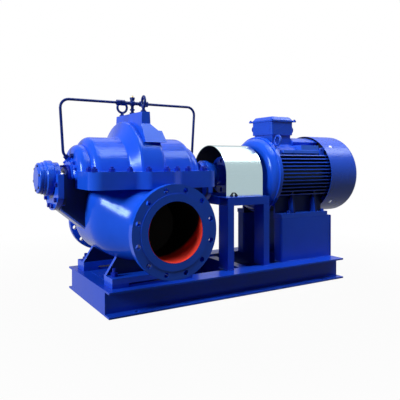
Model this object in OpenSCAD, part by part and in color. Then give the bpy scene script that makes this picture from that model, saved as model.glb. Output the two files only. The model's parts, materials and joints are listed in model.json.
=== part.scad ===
// Horizontal split case pump on a welded base frame, driven by an electric motor.
// Millimetres. X runs along the shaft from the pump to the motor, -Y is the suction side, +Z is up.
// The origin lies on the floor under the middle of the base frame.

/* [Base frame] */
// Distance from the base's pump end to the pump's middle
pump_inset = 269.5; // [255:0.5:290]
// Length of the base beyond the motor feet
base_room = 12.5; // [5:0.5:40]
// Width over the tips of the rail flanges
base_w = 670; // [650:2:700]
// Height of the rails
beam_h = 130; // [120:1:145]
// Flange width of the rails
beam_w = 123; // [112:1:130]
// Web thickness of the rails
web_t = 7; // [5:0.5:12]
// Flange thickness of the rails
flange_t = 10; // [7:0.5:14]
// Flange width of the end channels and cross members
channel_w = 65; // [50:1:80]
// Spacing of the anchor holes along the base
anchor_l = 1300; // [1200:5:1400]
// Diameter of the anchor holes
anchor_d = 22; // [16:1:26]

/* [Shaft line] */
// Height of the shaft above the floor
shaft_h = 678; // [665:1:700]
// Diameter of the pump shaft
pump_shaft_d = 70; // [55:1:80]
// Diameter of the motor shaft
motor_shaft_d = 84; // [70:1:90]
// Radial running clearance of a shaft in its bearing
run_gap = 0.05; // [0.02:0.01:0.1]
// Radial clearance of a shaft in a casing or gland
shaft_gap = 1.5; // [0.5:0.1:3]

/* [Nozzles] */
// Drop of the suction nozzle's axis below the shaft
suction_drop = 251; // [240:1:260]
// Distance from the shaft to the suction flange face
suction_reach = 519; // [490:1:550]
// Bore of the suction nozzle
suction_bore_d = 296; // [280:1:310]
// Bolt circle of the suction flange
suction_pcd = 410; // [400:1:420]
// Drop of the discharge nozzle's axis below the shaft
discharge_drop = 298; // [285:1:305]
// Distance from the shaft to the discharge flange face
discharge_reach = 577; // [550:1:620]
// Bore of the discharge nozzle
discharge_bore_d = 250; // [230:1:260]
// Bolt circle of the discharge flange
discharge_pcd = 355; // [345:1:365]
// Distance from a bolt circle out to the flange's edge
flange_rim = 25; // [20:1:32]
// Gap between the bolt holes and the raised face
face_gap = 7; // [4:0.5:12]
// Thickness of both nozzle flanges without the raised face
nozzle_flange_t = 35; // [28:1:42]
// Height of the raised face
raised_t = 3; // [2:0.5:5]
// Number of bolt holes in each nozzle flange
nozzle_bolts = 12; // [8:4:16]
// Diameter of the nozzle bolt holes
nozzle_hole_d = 26; // [22:1:28]
// Wall of the nozzle necks
neck_wall = 27; // [22:1:28]
// Depth of the straight suction bore
suction_bore_l = 300; // [250:1:320]
// Depth of the straight discharge bore
discharge_bore_l = 330; // [280:1:350]

/* [Pump casing] */
// How far the split flange stands out beyond the barrel's ends
split_lip = 2; // [0:1:8]
// Half width of the split flange across the shaft
split_hw = 345; // [335:1:355]
// Corner radius of the split flange
split_r = 62; // [40:1:80]
// How far the middle of the split flange bulges out
bulge_out = 36; // [20:1:45]
// Half length of that bulge at its foot
bulge_hl = 135; // [120:1:150]
// Length of the sweep from the flange's edge out to the bulge
bulge_sweep = 80; // [50:1:100]
// Thickness of the upper half of the split flange
split_upper_t = 36; // [28:1:45]
// Thickness of the lower half of the split flange
split_lower_t = 52; // [40:1:60]
// Half width of the belly of the lower casing
belly_hw = 309; // [295:1:320]
// Depth of the belly's underside below the shaft
belly_drop = 438; // [430:1:445]
// Height above the shaft at which the belly's sections would close
belly_crown = 30; // [10:1:60]
// How far the belly keeps its full section in front of the shaft
belly_hd = 150; // [130:1:170]
// How far the belly keeps its full section behind the shaft
belly_back = 50; // [20:1:90]
// Radius of the barrel's middle drum
barrel_r = 219; // [210:1:226]
// Half length of the middle drum
drum_hl = 300; // [290:1:308]
// Shoulder radius of the middle drum
drum_round = 42; // [30:1:50]
// Radius of the barrel's end drums
end_r = 177; // [168:1:184]
// Shoulder radius of the end drums
end_round = 42; // [30:1:50]
// Half length of the whole barrel
barrel_hl = 359; // [350:1:366]
// Radius of the stuffing boxes
box_r = 91; // [85:1:100]
// Length of a stuffing box beyond the barrel
box_l = 14; // [10:1:20]
// Radius of the volute hump at its top
hump_r = 312; // [300:1:316]
// How much the hump's radius grows over a quarter turn
hump_growth = 31; // [20:1:36]
// Half width of the hump's rim
hump_rim = 52; // [42:1:58]
// Half width of the hump at its foot
hump_hl = 128; // [118:1:136]
// Height of the lifting block above the shaft
block_h = 355; // [345:1:370]
// Half length of the lifting block across the shaft
block_hl = 182; // [170:1:190]
// Half thickness of the lifting block at its top
block_ht = 23; // [20:1:28]

/* [Pump feet] */
// Thickness of the packing pads under the feet
pad_t = 21; // [15:1:25]
// Length of a packing pad along the base
pad_l = 90; // [70:1:110]
// Half length of a pump foot along the base
foot_hl = 232; // [220:1:245]
// Width of a pump foot
foot_w = 115; // [105:1:125]
// Thickness of a pump foot
foot_t = 29; // [22:1:35]
// Distance from the base edge to the foot's outer edge
foot_inset = 54; // [45:1:60]
// Thickness of the foot webs
foot_web_t = 24; // [18:1:30]

/* [Pump bearings] */
// Room between a stuffing box and the face of its bearing bracket
gland_room = 57; // [50:1:70]
// Thickness of the bracket flange
bracket_flange_t = 16; // [12:1:20]
// Radius of the bracket flange and the bearing flange
bracket_r = 168; // [158:1:174]
// Half width of the bracket flange and the bearing flange
bracket_cheek = 136; // [125:1:145]
// Half width of the bearing bracket
bracket_hw = 93; // [88:1:104]
// Depth of the bearing bracket where it meets the belly
bracket_drop = 298; // [280:1:310]
// Wall of the bearing bracket
bracket_wall = 16; // [12:1:20]
// Height of the bracket flange above the shaft
bracket_top = 22; // [15:1:28]
// Radius of the bearing housing
housing_r = 92; // [86:1:96]
// Length of the bearing housing
housing_l = 82; // [74:1:90]
// Thickness of the bearing flange under the housing
housing_flange_t = 30; // [22:1:36]
// Radius of the bearing cap
cap_r = 80; // [74:1:84]
// Thickness of the bearing cap
cap_t = 27; // [20:1:32]
// Radius of the gland flange
gland_r = 70; // [64:1:76]

/* [Pipework on top] */
// Outer diameter of the flush pipes
pipe_d = 15; // [12:0.5:18]
// Height of the flush pipe run above the lifting block
pipe_rise = 63; // [55:1:75]
// Distance from a flush connection out to its pipe drop
pipe_out = 53; // [45:1:60]
// Centreline bend radius of the flush pipes
pipe_bend = 46; // [40:1:50]
// Distance from a stuffing box end in to its flush connection
flush_inset = 14; // [12:1:18]
// Outer diameter of an eye bolt ring
eye_d = 76; // [70:1:82]
// Wire diameter of an eye bolt ring
eye_wire = 14; // [10:1:16]
// Distance from the lifting block's end in to its eye bolt
eye_inset = 32; // [26:1:44]

/* [Coupling and guard] */
// Room between the bearing cap and the coupling
coupling_room = 17; // [10:1:30]
// Gap between the coupling halves
coupling_gap = 6; // [5:0.5:8]
// Radius of the coupling flanges
coupling_r = 118; // [110:1:125]
// Thickness of a coupling flange
coupling_flange_t = 46; // [40:1:50]
// Radius of the coupling hubs
coupling_hub_r = 66; // [60:1:72]
// Length of a coupling half
coupling_l = 104; // [98:1:108]
// How far the guard laps over the bearing cap
guard_lap = 17; // [10:1:25]
// Gap between the guard and the motor
guard_clear = 1; // [0.5:0.5:10]
// Outer half width of the guard
guard_hw = 189; // [184:1:195]
// Sheet thickness of the guard
guard_t = 3; // [2:0.5:5]
// How far the stand reaches out beyond the guard at the pump
stand_lip = 27; // [20:1:34]
// How far the stand stays behind the guard at the motor
stand_back = 14; // [8:1:20]
// Distance from the base's edge in to the stand
stand_inset = 92; // [84:1:100]
// How far the stand's beams reach in under the guard
guard_seat = 39; // [25:1:50]
// Width of a stand post along the base
post_w = 45; // [36:1:52]
// Height of the stand's beams
stand_beam_h = 49; // [40:1:56]
// Drop of the stand's top below the shaft
stand_drop = 124; // [122:1:128]
// Wall of the stand's channels
stand_wall = 6; // [4:0.5:8]

/* [Motor] */
// Room between the coupling and the motor
motor_room = 52; // [40:1:64]
// Length of the front end shield
shield_l = 93; // [85:1:96]
// Length of the finned frame
frame_l = 428; // [420:1:436]
// Radius of the frame under the fins
frame_r = 222; // [218:1:226]
// Height of the fins
fin_h = 28; // [22:1:32]
// Spacing of the fins
fin_pitch = 23; // [21:0.5:24]
// Thickness of a fin
fin_t = 7; // [5:0.5:9]
// Number of fins on each side
fin_count = 12; // [8:2:12]
// Room between the fin circle and the motor's foot plane
foot_room = 22; // [16:1:30]
// Thickness of the motor feet
motor_foot_t = 27; // [20:1:32]
// Outer half width of the motor feet
motor_foot_hw = 231; // [228:1:240]
// Width of a motor foot
motor_foot_w = 76; // [66:1:84]
// How far the cowl stands out beyond the fin tips
cowl_room = 14; // [10:1:20]
// Length of the fan cowl
cowl_l = 266; // [258:1:275]
// Sheet thickness of the fan cowl
cowl_t = 3; // [2:0.5:4]
// How far the cowl laps over the frame
cowl_lap = 18; // [12:1:24]
// Rear edge radius of the fan cowl
cowl_round = 34; // [25:1:40]
// Length of the cooling fan
fan_l = 70; // [60:1:80]
// Radial room between the fan and its cowl
fan_room = 54; // [40:1:70]
// Distance from the base's edge in to a motor pedestal
pedestal_inset = 104; // [96:1:110]

/* [Terminal box] */
// Distance from the frame's front in to the terminal box
tbox_inset = 31; // [24:1:40]
// Length of the terminal box
tbox_l = 183; // [170:1:190]
// Half width of the terminal box
tbox_hw = 103; // [95:1:108]
// Height of the terminal box's underside above the frame
tbox_rise = 41; // [36:1:48]
// Height of the neck under the terminal box
tbox_neck_h = 24; // [18:1:30]
// Height of the terminal box
tbox_h = 87; // [78:1:96]
// Height of the terminal box's lid
lid_h = 34; // [28:1:40]
// Distance from the frame's front in to the auxiliary box
aux_inset = 210; // [190:1:230]
// Length of the auxiliary box
aux_l = 157; // [140:1:170]
// Height of the auxiliary box
aux_h = 54; // [45:1:60]
// Room between the top fin and the auxiliary box
aux_gap = 10; // [6:1:16]
// How far the auxiliary box stays inside the frame's side
aux_sink = 36; // [30:1:42]
// Length of the ledge under the auxiliary box
ledge_l = 352; // [320:1:360]
// Height of that ledge
ledge_h = 20; // [16:1:24]
// How far the ledge stands out beyond the auxiliary box
ledge_out = 6; // [2:1:12]

/* [Hidden] */
$fn = 96;
eps = 0.01;
paint = "royalblue";

// Line of machines along the base, worked out from the pump's middle
box_hl = barrel_hl + box_l;
bracket_hl = box_hl + gland_room;
housing_end = bracket_hl + housing_l;
cap_end = housing_end + cap_t;
coupling_mid = cap_end + coupling_room + coupling_l + coupling_gap / 2;
motor_front = coupling_mid + coupling_gap / 2 + coupling_l + motor_room;
base_l = pump_inset + motor_front + shield_l + frame_l + base_room;
pump_x = pump_inset - base_l / 2;
coupling_x = pump_x + coupling_mid;
motor_x = pump_x + motor_front;

// Base frame, worked out from the rails
rail_y = base_w / 2 - beam_w / 2;
rail_web_in = rail_y - web_t / 2;
anchor_y = rail_y + beam_w / 4 + web_t / 4;
cross_x = [pump_x, coupling_x, motor_x + shield_l + frame_l / 2];
cope_l = channel_w + 2;

// Pump, measured from the shaft at the pump's middle
foot_z = beam_h + pad_t - shaft_h;
foot_y_out = base_w / 2 - foot_inset;
foot_web_y = foot_y_out - foot_w + foot_web_t / 2 + 4;
suction_neck_r = suction_bore_d / 2 + neck_wall;
discharge_neck_r = discharge_bore_d / 2 + neck_wall;
split_hl = barrel_hl + split_lip;
pump_shaft_r = pump_shaft_d / 2;
motor_shaft_r = motor_shaft_d / 2;
bracket_in = belly_hw - 40;
belly_n = 2.9;
belly_low_n = 2.4;
bracket_lip = 8;
bracket_dip = 41;
boss_low = barrel_r - 30;
boss_top = hump_r - 22;
boss_out = hump_r - 65;
boss_in = block_hl + 6;
boss_back = 33;
boss_end = 93;
boss_shelf = [60, 82];
boss_shelf_h = hump_r - 58;
boss_crest = 22;
eye_y = block_hl - eye_inset;

// Flush pipes, measured from the shaft at the pump's middle, on the -X side
pipe_lean = 42;
drop_lean = 3.5;
pipe_steps = 6;
cross_arm = 96;
cross_r = 18;
union_l = 18;
flush_boss_l = 24;
flush_x = box_hl - flush_inset;
pipe_h = block_h + pipe_rise;
pipe_hl = flush_x + pipe_out;
flush_foot = [-flush_x, box_r - 4];
flush_seat = flush_foot + flush_boss_l * [-sin(pipe_lean), cos(pipe_lean)];
pipe_corner = [pipe_bend - pipe_hl, pipe_h - pipe_bend];
drop_way = [sin(drop_lean), -cos(drop_lean)];
seat_way = [sin(pipe_lean), -cos(pipe_lean)];
seat_gap = flush_seat - pipe_corner + pipe_bend * [cos(pipe_lean), sin(pipe_lean)];
pipe_elbow = pipe_corner + drop_way * cross(seat_gap, seat_way) / cross(drop_way, seat_way);

// Motor, measured from the shaft
frame_x = motor_x + shield_l;
rear_x = frame_x + frame_l;
rear_l = 34;
fan_gap = 12;
fan_x = rear_x + rear_l + fan_gap;
shaft_tail = 8;
fin_r = frame_r + fin_h;
motor_h = fin_r + foot_room;
cowl_r = fin_r + cowl_room;
cowl_x = rear_x - cowl_lap;
pedestal_h = shaft_h - motor_h - beam_h;
pedestal_in = motor_foot_hw - motor_foot_w;
pedestal_w = base_w / 2 - pedestal_inset - pedestal_in;
motor_foot_z = -motor_h;
foot_gap = 6;
tbox_x = frame_x + tbox_inset;
tbox_h0 = frame_r + tbox_rise;
tbox_h1 = tbox_h0 + tbox_h;
motor_eye_x = frame_x + eye_wire * 1.3;
motor_eye_lean = 38;
motor_eye_seat = frame_r + 4;
big = 3000;

// Guard and its stand
guard_x = pump_x + cap_end - guard_lap;
guard_l = motor_x - guard_clear - guard_x;
stand_x = guard_x - stand_lip;
stand_l = stand_lip + guard_l - stand_back;
stand_hw = base_w / 2 - stand_inset;
stand_depth = stand_hw - guard_hw + guard_seat;
stand_top = shaft_h - stand_drop;

// Smooth step from 0 to 1 as t goes from a to b
function ease(t, a, b) = let (u = min(1, max(0, (t - a) / (b - a)))) u * u * (3 - 2 * u);
function mix(a, b, u) = a + (b - a) * u;
function sgn_pow(v, p) = sign(v) * pow(abs(v), p);
// Points of a round-cornered closed curve: an ellipse at n = 2, squarer above that,
// with a power of its own below its middle
function squircle(a, b, zc, n, low_n, count) = [
    for (i = [0 : count - 1])
        let (t = 360 * i / count, p = 2 / (sin(t) < 0 ? low_n : n))
        [a * sgn_pow(cos(t), p), zc + b * sgn_pow(sin(t), p)]
];
// Points of an arc about (cx, cy)
function arc(cx, cy, r, from, to, steps) = [
    for (i = [0 : steps])
        let (t = mix(from, to, i / steps))
        [cx + r * cos(t), cy + r * sin(t)]
];

// Closed skin over rows of points, each row with the same count
module skin(points, rows, count) {
    sides = [
        for (k = [0 : rows - 2])
            for (i = [0 : count - 1])
                let (j = (i + 1) % count, a = k * count + i, b = k * count + j)
                each [[a, b, b + count], [a, b + count, a + count]]
    ];
    first = [[for (i = [count - 1 : -1 : 0]) i]];
    last = [[for (i = [0 : count - 1]) (rows - 1) * count + i]];
    polyhedron(points, concat(sides, first, last));
}

// Skin over a row of XZ sections, each at its own Y
module loft_y(ys, sections) {
    rows = len(ys);
    count = len(sections[0]);
    points = [for (k = [0 : rows - 1]) for (p = sections[k]) [p[0], ys[k], p[1]]];
    skin(points, rows, count);
}

// Extrude a YZ outline along X
module along_x(x, l) {
    translate([x, 0, 0])
        rotate([90, 0, 90])
            linear_extrude(l)
                children();
}

// Extrude an XZ outline along Y
module along_y(y, l) {
    translate([0, y + l, 0])
        rotate([90, 0, 0])
            linear_extrude(l)
                children();
}

// Turn an outline of (radius, X) about the shaft line
module turn_x() {
    rotate([0, 90, 0])
        rotate_extrude()
            children();
}

// Cylinder along X
module rod_x(x, l, r) {
    translate([x, 0, 0])
        rotate([0, 90, 0])
            cylinder(h = l, r = r);
}

// Cylinder along Y
module rod_y(y, l, r) {
    translate([0, y, 0])
        rotate([-90, 0, 0])
            cylinder(h = l, r = r);
}

// Rectangle with rounded corners, centred
module round_rect(w, h, r) {
    square([w, h - 2 * r], center = true);
    square([w - 2 * r, h], center = true);
    for (sx = [-1, 1], sy = [-1, 1])
        translate([sx * (w / 2 - r), sy * (h / 2 - r)])
            circle(r);
}

module at_shaft() {
    translate([0, 0, shaft_h])
        children();
}

module at_pump() {
    translate([pump_x, 0, shaft_h])
        children();
}

// Mirror to the side that points along +X when side is 1
module pump_side(side) {
    at_pump()
        mirror([side > 0 ? 1 : 0, 0, 0])
            children();
}

// H section, standing, centred on its web
module beam_section() {
    translate([-beam_w / 2, 0])
        square([beam_w, flange_t]);
    translate([-beam_w / 2, beam_h - flange_t])
        square([beam_w, flange_t]);
    translate([-web_t / 2, 0])
        square([web_t, beam_h]);
}

// Rail on the side where Y has the given sign, coped inside at both ends for the end channels
module rail(side) {
    color(paint)
        difference() {
            translate([0, side * rail_y, 0])
                difference() {
                    along_x(-base_l / 2, base_l)
                        beam_section();
                    for (x = [-base_l / 2 - 1, base_l / 2 + 1 - cope_l])
                        translate([x, side > 0 ? -web_t / 2 - beam_w : web_t / 2, -1])
                            cube([cope_l, beam_w, beam_h + 2]);
                }
            for (sx = [-1, 1])
                translate([sx * anchor_l / 2, side * anchor_y, -1])
                    cylinder(h = flange_t + 2, d = anchor_d);
        }
}

// Channel across the base, its web facing outwards at x = 0
module channel(h) {
    y0 = -rail_web_in;
    l = 2 * rail_web_in;
    along_y(y0, l)
        difference() {
            square([channel_w, h]);
            translate([web_t, flange_t])
                square([channel_w, h - 2 * flange_t]);
        }
}

module base_end(side) {
    color(paint)
        mirror([side > 0 ? 1 : 0, 0, 0])
            translate([-base_l / 2, 0, 0])
                channel(beam_h);
}

module base_cross_members() {
    color(paint)
        for (x = cross_x)
            translate([x - channel_w / 2, 0, flange_t])
                channel(beam_h - 2 * flange_t);
}

module pump_pads() {
    color(paint)
        for (sx = [-1, 1], sy = [-1, 1])
            translate([pump_x + sx * (foot_hl - pad_l / 2), sy * (foot_y_out - foot_w / 2), beam_h + pad_t / 2])
                cube([pad_l, foot_w, pad_t], center = true);
}

// Outline of the split flange, seen from above
module split_outline() {
    steps = 8;
    sweep = [
        for (i = [0 : steps])
            [bulge_hl - bulge_sweep * i / steps, split_hw + bulge_out * ease(i, 0, steps)]
    ];
    edge = concat(sweep, [for (i = [steps : -1 : 0]) [-sweep[i][0], sweep[i][1]]]);
    round_rect(2 * split_hl, 2 * split_hw, split_r);
    polygon(concat(edge, -edge));
}

// Belly and both necks as one skin from the suction flange to the discharge flange
module belly_skin() {
    neck_s = -suction_reach + nozzle_flange_t / 2;
    neck_d = discharge_reach - nozzle_flange_t / 2;
    start_s = neck_s + 60;
    start_d = neck_d - 60;
    ys = concat(
        [neck_s],
        [for (i = [0 : 9]) mix(start_s, -belly_hd, i / 9)],
        [for (i = [0 : 10]) mix(belly_back, start_d, i / 10)],
        [neck_d]
    );
    sections = [
        for (y = ys)
            let (
                u = y < 0 ? ease(-y, -start_s, belly_hd) : ease(y, start_d, belly_back),
                r = y < 0 ? suction_neck_r : discharge_neck_r,
                axis_z = y < 0 ? -suction_drop : -discharge_drop,
                high = mix(axis_z + r, belly_crown, u),
                low = mix(axis_z - r, -belly_drop, u)
            )
            squircle(
                mix(r, belly_hw, u), (high - low) / 2, (high + low) / 2,
                mix(2, belly_n, u), mix(2, belly_low_n, u), 48
            )
    ];
    intersection() {
        loft_y(ys, sections);
        translate([-big / 2, -big / 2, -big - split_lower_t / 2])
            cube(big);
    }
}

// Nozzle flange with its raised face, standing on the -Y side of y = reach
module nozzle_flange(reach, pcd) {
    rod_y(-reach + raised_t, nozzle_flange_t, pcd / 2 + flange_rim);
    rod_y(-reach, raised_t + eps, (pcd - nozzle_hole_d) / 2 - face_gap);
}

// Bore with a domed end, and its bolt holes
module nozzle_cuts(reach, bore_d, bore_l, pcd) {
    rod_y(-reach, bore_l, bore_d / 2);
    translate([0, -reach + bore_l, 0])
        rotate([-90, 0, 0])
            rotate_extrude()
                intersection() {
                    translate([0, -bore_d])
                        circle(bore_d * 1.118034);
                    square([bore_d / 2, bore_d]);
                }
    for (i = [0 : nozzle_bolts - 1])
        rotate([0, (i + 0.5) * 360 / nozzle_bolts, 0])
            translate([0, 0, pcd / 2])
                rod_y(-reach - 1, nozzle_flange_t + raised_t + 2, nozzle_hole_d / 2);
}

// Foot with its web, on the -Y side
module pump_foot() {
    web_top = -suction_drop - 60;
    translate([-foot_hl, -foot_y_out, foot_z])
        cube([2 * foot_hl, foot_w, foot_t]);
    along_y(-foot_web_y - foot_web_t / 2, foot_web_t)
        polygon([
            [-foot_hl, foot_z],
            [-foot_hl, foot_z + foot_t],
            [-foot_hl + 55, foot_z + foot_t + 84],
            [-foot_hl + 80, web_top],
            [foot_hl - 80, web_top],
            [foot_hl - 55, foot_z + foot_t + 84],
            [foot_hl, foot_z + foot_t],
            [foot_hl, foot_z]
        ]);
}

// U section of the bearing bracket with a round bottom
module trough_section(hw, drop, top) {
    r = hw * 0.4;
    translate([-hw, -drop + r])
        square([2 * hw, drop - r + top]);
    for (s = [-1, 1])
        translate([s * (hw - r), -drop + r])
            circle(r, $fn = 32);
    translate([-hw + r, -drop])
        square([2 * (hw - r), r]);
}

module trough(shrink, lift) {
    hull() {
        along_x(-bracket_hl, 1)
            trough_section(bracket_hw - shrink, bracket_r - shrink, bracket_lip + lift);
        along_x(-bracket_in, 1)
            trough_section(bracket_hw - shrink, bracket_drop - shrink, lift - bracket_dip);
    }
}

// Disc of the bracket and bearing flanges, flat at its sides and cut off above
module bracket_disc(x, l) {
    intersection() {
        rod_x(x, l, bracket_r);
        translate([x - 1, -bracket_cheek, bracket_top - big])
            cube([l + 2, 2 * bracket_cheek, big]);
    }
}

// Bracket that carries the -X bearing
module bearing_bracket() {
    difference() {
        trough(0, 0);
        trough(bracket_wall, 1);
    }
    difference() {
        bracket_disc(-bracket_hl, bracket_flange_t);
        rod_x(-bracket_hl - 1, bracket_flange_t + 2, gland_r);
        translate([-bracket_hl - 1, -gland_r, 0])
            cube([bracket_flange_t + 2, 2 * gland_r, big]);
    }
}

module lower_casing() {
    color(paint)
        at_pump()
            difference() {
                union() {
                    translate([0, 0, -split_lower_t])
                        linear_extrude(split_lower_t)
                            split_outline();
                    belly_skin();
                    translate([0, 0, -suction_drop])
                        nozzle_flange(suction_reach, suction_pcd);
                    translate([0, 0, -discharge_drop])
                        rotate([0, 0, 180])
                            nozzle_flange(discharge_reach, discharge_pcd);
                    for (s = [0, 1])
                        mirror([0, s, 0])
                            pump_foot();
                    for (s = [0, 1])
                        mirror([s, 0, 0])
                            bearing_bracket();
                    difference() {
                        rod_x(-box_hl, 2 * box_hl, box_r);
                        translate([-big / 2, -big / 2, 0])
                            cube(big);
                    }
                }
                translate([0, 0, -suction_drop])
                    nozzle_cuts(suction_reach, suction_bore_d, suction_bore_l, suction_pcd);
                translate([0, 0, -discharge_drop])
                    rotate([0, 0, 180])
                        nozzle_cuts(discharge_reach, discharge_bore_d, discharge_bore_l, discharge_pcd);
                rod_x(-bracket_hl - 1, 2 * bracket_hl + 2, pump_shaft_r + shaft_gap);
            }
}

// Outline of (radius, X) for the stepped barrel and its stuffing boxes
module barrel_outline() {
    fillet = 8;
    right = concat(
        arc(barrel_r - drum_round, drum_hl - drum_round, drum_round, 0, 90, 8),
        arc(end_r - end_round, barrel_hl - end_round, end_round, 0, 90, 8),
        [[box_r + fillet, barrel_hl], [box_r, barrel_hl + fillet], [box_r, box_hl], [0, box_hl]]
    );
    left = [for (i = [len(right) - 1 : -1 : 0]) [right[i][0], -right[i][1]]];
    polygon(concat(left, right));
}

// Section of the volute hump in (X, radius), rounded at its rim and hollowed at its foot
function hump_section(r) =
    let (
        rim = 22,
        foot = 34,
        slope = 52,
        foot_r = barrel_r + foot - 4,
        right = concat(
            [[hump_hl, barrel_r - foot]],
            [for (p = arc(foot_r, hump_hl, foot, 180, 180 + slope, 4)) [p[1], p[0]]],
            [for (p = arc(r - rim, hump_rim, rim, slope, 0, 4)) [p[1], p[0]]]
        )
    )
    concat(right, [for (i = [len(right) - 1 : -1 : 0]) [-right[i][0], right[i][1]]]);

// Volute hump: its sections swept over the shaft from the suction side, growing as they go
module volute_hump() {
    rows = 27;
    past = 3;
    points = [
        for (k = [0 : rows - 1])
            let (a = mix(-past, 180 + past, k / (rows - 1)))
            for (p = hump_section(hump_r + hump_growth * (a - 90) / 90))
                [p[0], -p[1] * cos(a), p[1] * sin(a)]
    ];
    skin(points, rows, len(hump_section(hump_r)));
}

// Sloped boss under the lifting block, its upper corner cut down to a shelf on the +X side
module flank_boss() {
    intersection() {
        along_x(-boss_back, boss_back + boss_end)
            polygon([[-boss_out, boss_low], [-boss_in, boss_top], [0, boss_top], [0, boss_low]]);
        along_y(-boss_out, boss_out)
            polygon([
                [-boss_back, boss_low], [-boss_back, boss_top], [boss_crest, boss_top],
                [boss_shelf[0], boss_shelf_h], [boss_shelf[1], boss_shelf_h - 2], [boss_end, boss_low]
            ]);
    }
}

module upper_casing() {
    color(paint)
        at_pump()
            difference() {
                union() {
                    linear_extrude(split_upper_t)
                        split_outline();
                    intersection() {
                        union() {
                            turn_x()
                                barrel_outline();
                            volute_hump();
                        }
                        translate([-big / 2, -big / 2, 0])
                            cube(big);
                    }
                    along_y(-block_hl, 2 * block_hl)
                        polygon([
                            [-block_ht - 8, barrel_r], [-block_ht, block_h],
                            [block_ht, block_h], [block_ht + 8, barrel_r]
                        ]);
                    flank_boss();
                    for (s = [0, 1])
                        mirror([s, 0, 0])
                            translate([flush_foot[0], 0, flush_foot[1]])
                                rotate([0, -pipe_lean, 0])
                                    cylinder(h = flush_boss_l, r = pipe_d - 1);
                }
                rod_x(-box_hl - 1, 2 * box_hl + 2, pump_shaft_r + shaft_gap);
            }
}

// Eye bolt standing on z = 0, its ring turned about Z
module eye_bolt(turn) {
    ring_r = (eye_d - eye_wire) / 2;
    ring_z = eye_d / 2 + 16;
    rotate([0, 0, turn])
        translate([0, 0, ring_z])
            rotate([90, 0, 0])
                rotate_extrude()
                    translate([ring_r, 0])
                        circle(eye_wire / 2, $fn = 32);
    cylinder(h = 8, r = eye_wire * 1.15);
    cylinder(h = ring_z - ring_r, r1 = eye_wire, r2 = eye_wire / 2);
}

module lifting_eyes() {
    color(paint)
        at_pump()
            translate([0, 0, block_h]) {
                translate([0, -eye_y, 0])
                    eye_bolt(80);
                translate([0, eye_y, 0])
                    eye_bolt(4);
            }
}

// Hexagon along X from x, as wide across its corners as 2 * r
module hex_x(x, l, r) {
    translate([x, 0, 0])
        rotate([0, 90, 0])
            cylinder(h = l, r = r, $fn = 6);
}

// Pipe cross with its unions and an air cock, on the lifting block
module vent_cross() {
    nut_r = 16;
    nut_l = 24;
    color(paint)
        at_pump() {
            translate([0, 0, block_h]) {
                cylinder(h = 10, r = nut_r + 1, $fn = 6);
                translate([0, 0, 22])
                    cylinder(h = 8, r = nut_r - 2);
                cylinder(h = pipe_rise, r = 9);
            }
            translate([0, 0, pipe_h]) {
                sphere(cross_r);
                rod_x(-cross_arm, 2 * cross_arm, 10);
                for (x = [-cross_arm, -cross_arm + nut_l + 2, cross_arm - 2 * nut_l - 2, cross_arm - nut_l])
                    hex_x(x, nut_l, nut_r);
                cylinder(h = 26, r = 12);
                translate([0, 0, 22])
                    cylinder(h = 11, r = nut_r, $fn = 6);
                translate([0, 0, 33])
                    cylinder(h = 10, r = 6);
            }
        }
}

// Points [x, z, heading] along the -X flush pipe, from the vent cross to its seat
function pipe_route() = concat(
    [[-cross_arm, pipe_h, 180]],
    [
        for (i = [0 : pipe_steps])
            let (t = 90 + (90 + drop_lean) * i / pipe_steps)
            [pipe_corner[0] + pipe_bend * cos(t), pipe_corner[1] + pipe_bend * sin(t), t + 90]
    ],
    [
        for (i = [0 : pipe_steps])
            let (t = 180 + mix(drop_lean, pipe_lean, i / pipe_steps))
            [pipe_elbow[0] + pipe_bend * cos(t), pipe_elbow[1] + pipe_bend * sin(t), t + 90]
    ],
    [[flush_seat[0], flush_seat[1], 270 + pipe_lean]]
);

// Round skin over a route that lies in the XZ plane
module tube_xz(route, r, count) {
    rows = len(route);
    points = [
        for (p = route)
            for (i = [0 : count - 1])
                let (t = 360 * i / count)
                [p[0] - r * cos(t) * sin(p[2]), r * sin(t), p[1] + r * cos(t) * cos(p[2])]
    ];
    skin(points, rows, count);
}

// Flush pipe from the vent cross to the -X stuffing box, with its union nut
module flush_pipe() {
    tube_xz(pipe_route(), pipe_d / 2, 16);
    translate([flush_seat[0], 0, flush_seat[1]])
        rotate([0, -pipe_lean, 0])
            cylinder(h = union_l, r = pipe_d - 1, $fn = 6);
}

module gland() {
    color("lightsteelblue")
        difference() {
            union() {
                rod_x(-box_hl - 16, 16, gland_r);
                rod_x(-box_hl - 26, 26, gland_r - 16);
            }
            rod_x(-box_hl - 27, 28, pump_shaft_r + shaft_gap);
        }
}

// Bearing housing on the -X side, with its half flange against the bracket
module bearing_housing() {
    color(paint)
        difference() {
            union() {
                turn_x()
                    polygon([
                        [0, -housing_end], [housing_r - 8, -housing_end], [housing_r - 8, -housing_end + 12],
                        [housing_r, -housing_end + 18], [housing_r, -bracket_hl - 34],
                        [housing_r - 10, -bracket_hl - 26], [housing_r - 10, -bracket_hl], [0, -bracket_hl]
                    ]);
                bracket_disc(-bracket_hl - housing_flange_t, housing_flange_t);
            }
            rod_x(-housing_end - 1, housing_l + 2, pump_shaft_r + run_gap);
        }
}

// Bearing cap on the -X side, bored where the shaft passes through
module bearing_cap(bored) {
    color(paint)
        difference() {
            turn_x()
                polygon([
                    [0, -cap_end], [cap_r - 22, -cap_end],
                    [cap_r - 16, -cap_end + 5], [cap_r - 5, -cap_end + 5],
                    [cap_r, -cap_end + 10], [cap_r, -housing_end], [0, -housing_end]
                ]);
            if (bored)
                rod_x(-cap_end - 1, cap_t + 2, pump_shaft_r + shaft_gap);
        }
}

module pump_shaft() {
    x0 = pump_x - housing_end + 5;
    color("silver")
        at_shaft()
            rod_x(x0, coupling_x - coupling_gap / 2 - x0, pump_shaft_r);
}

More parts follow.
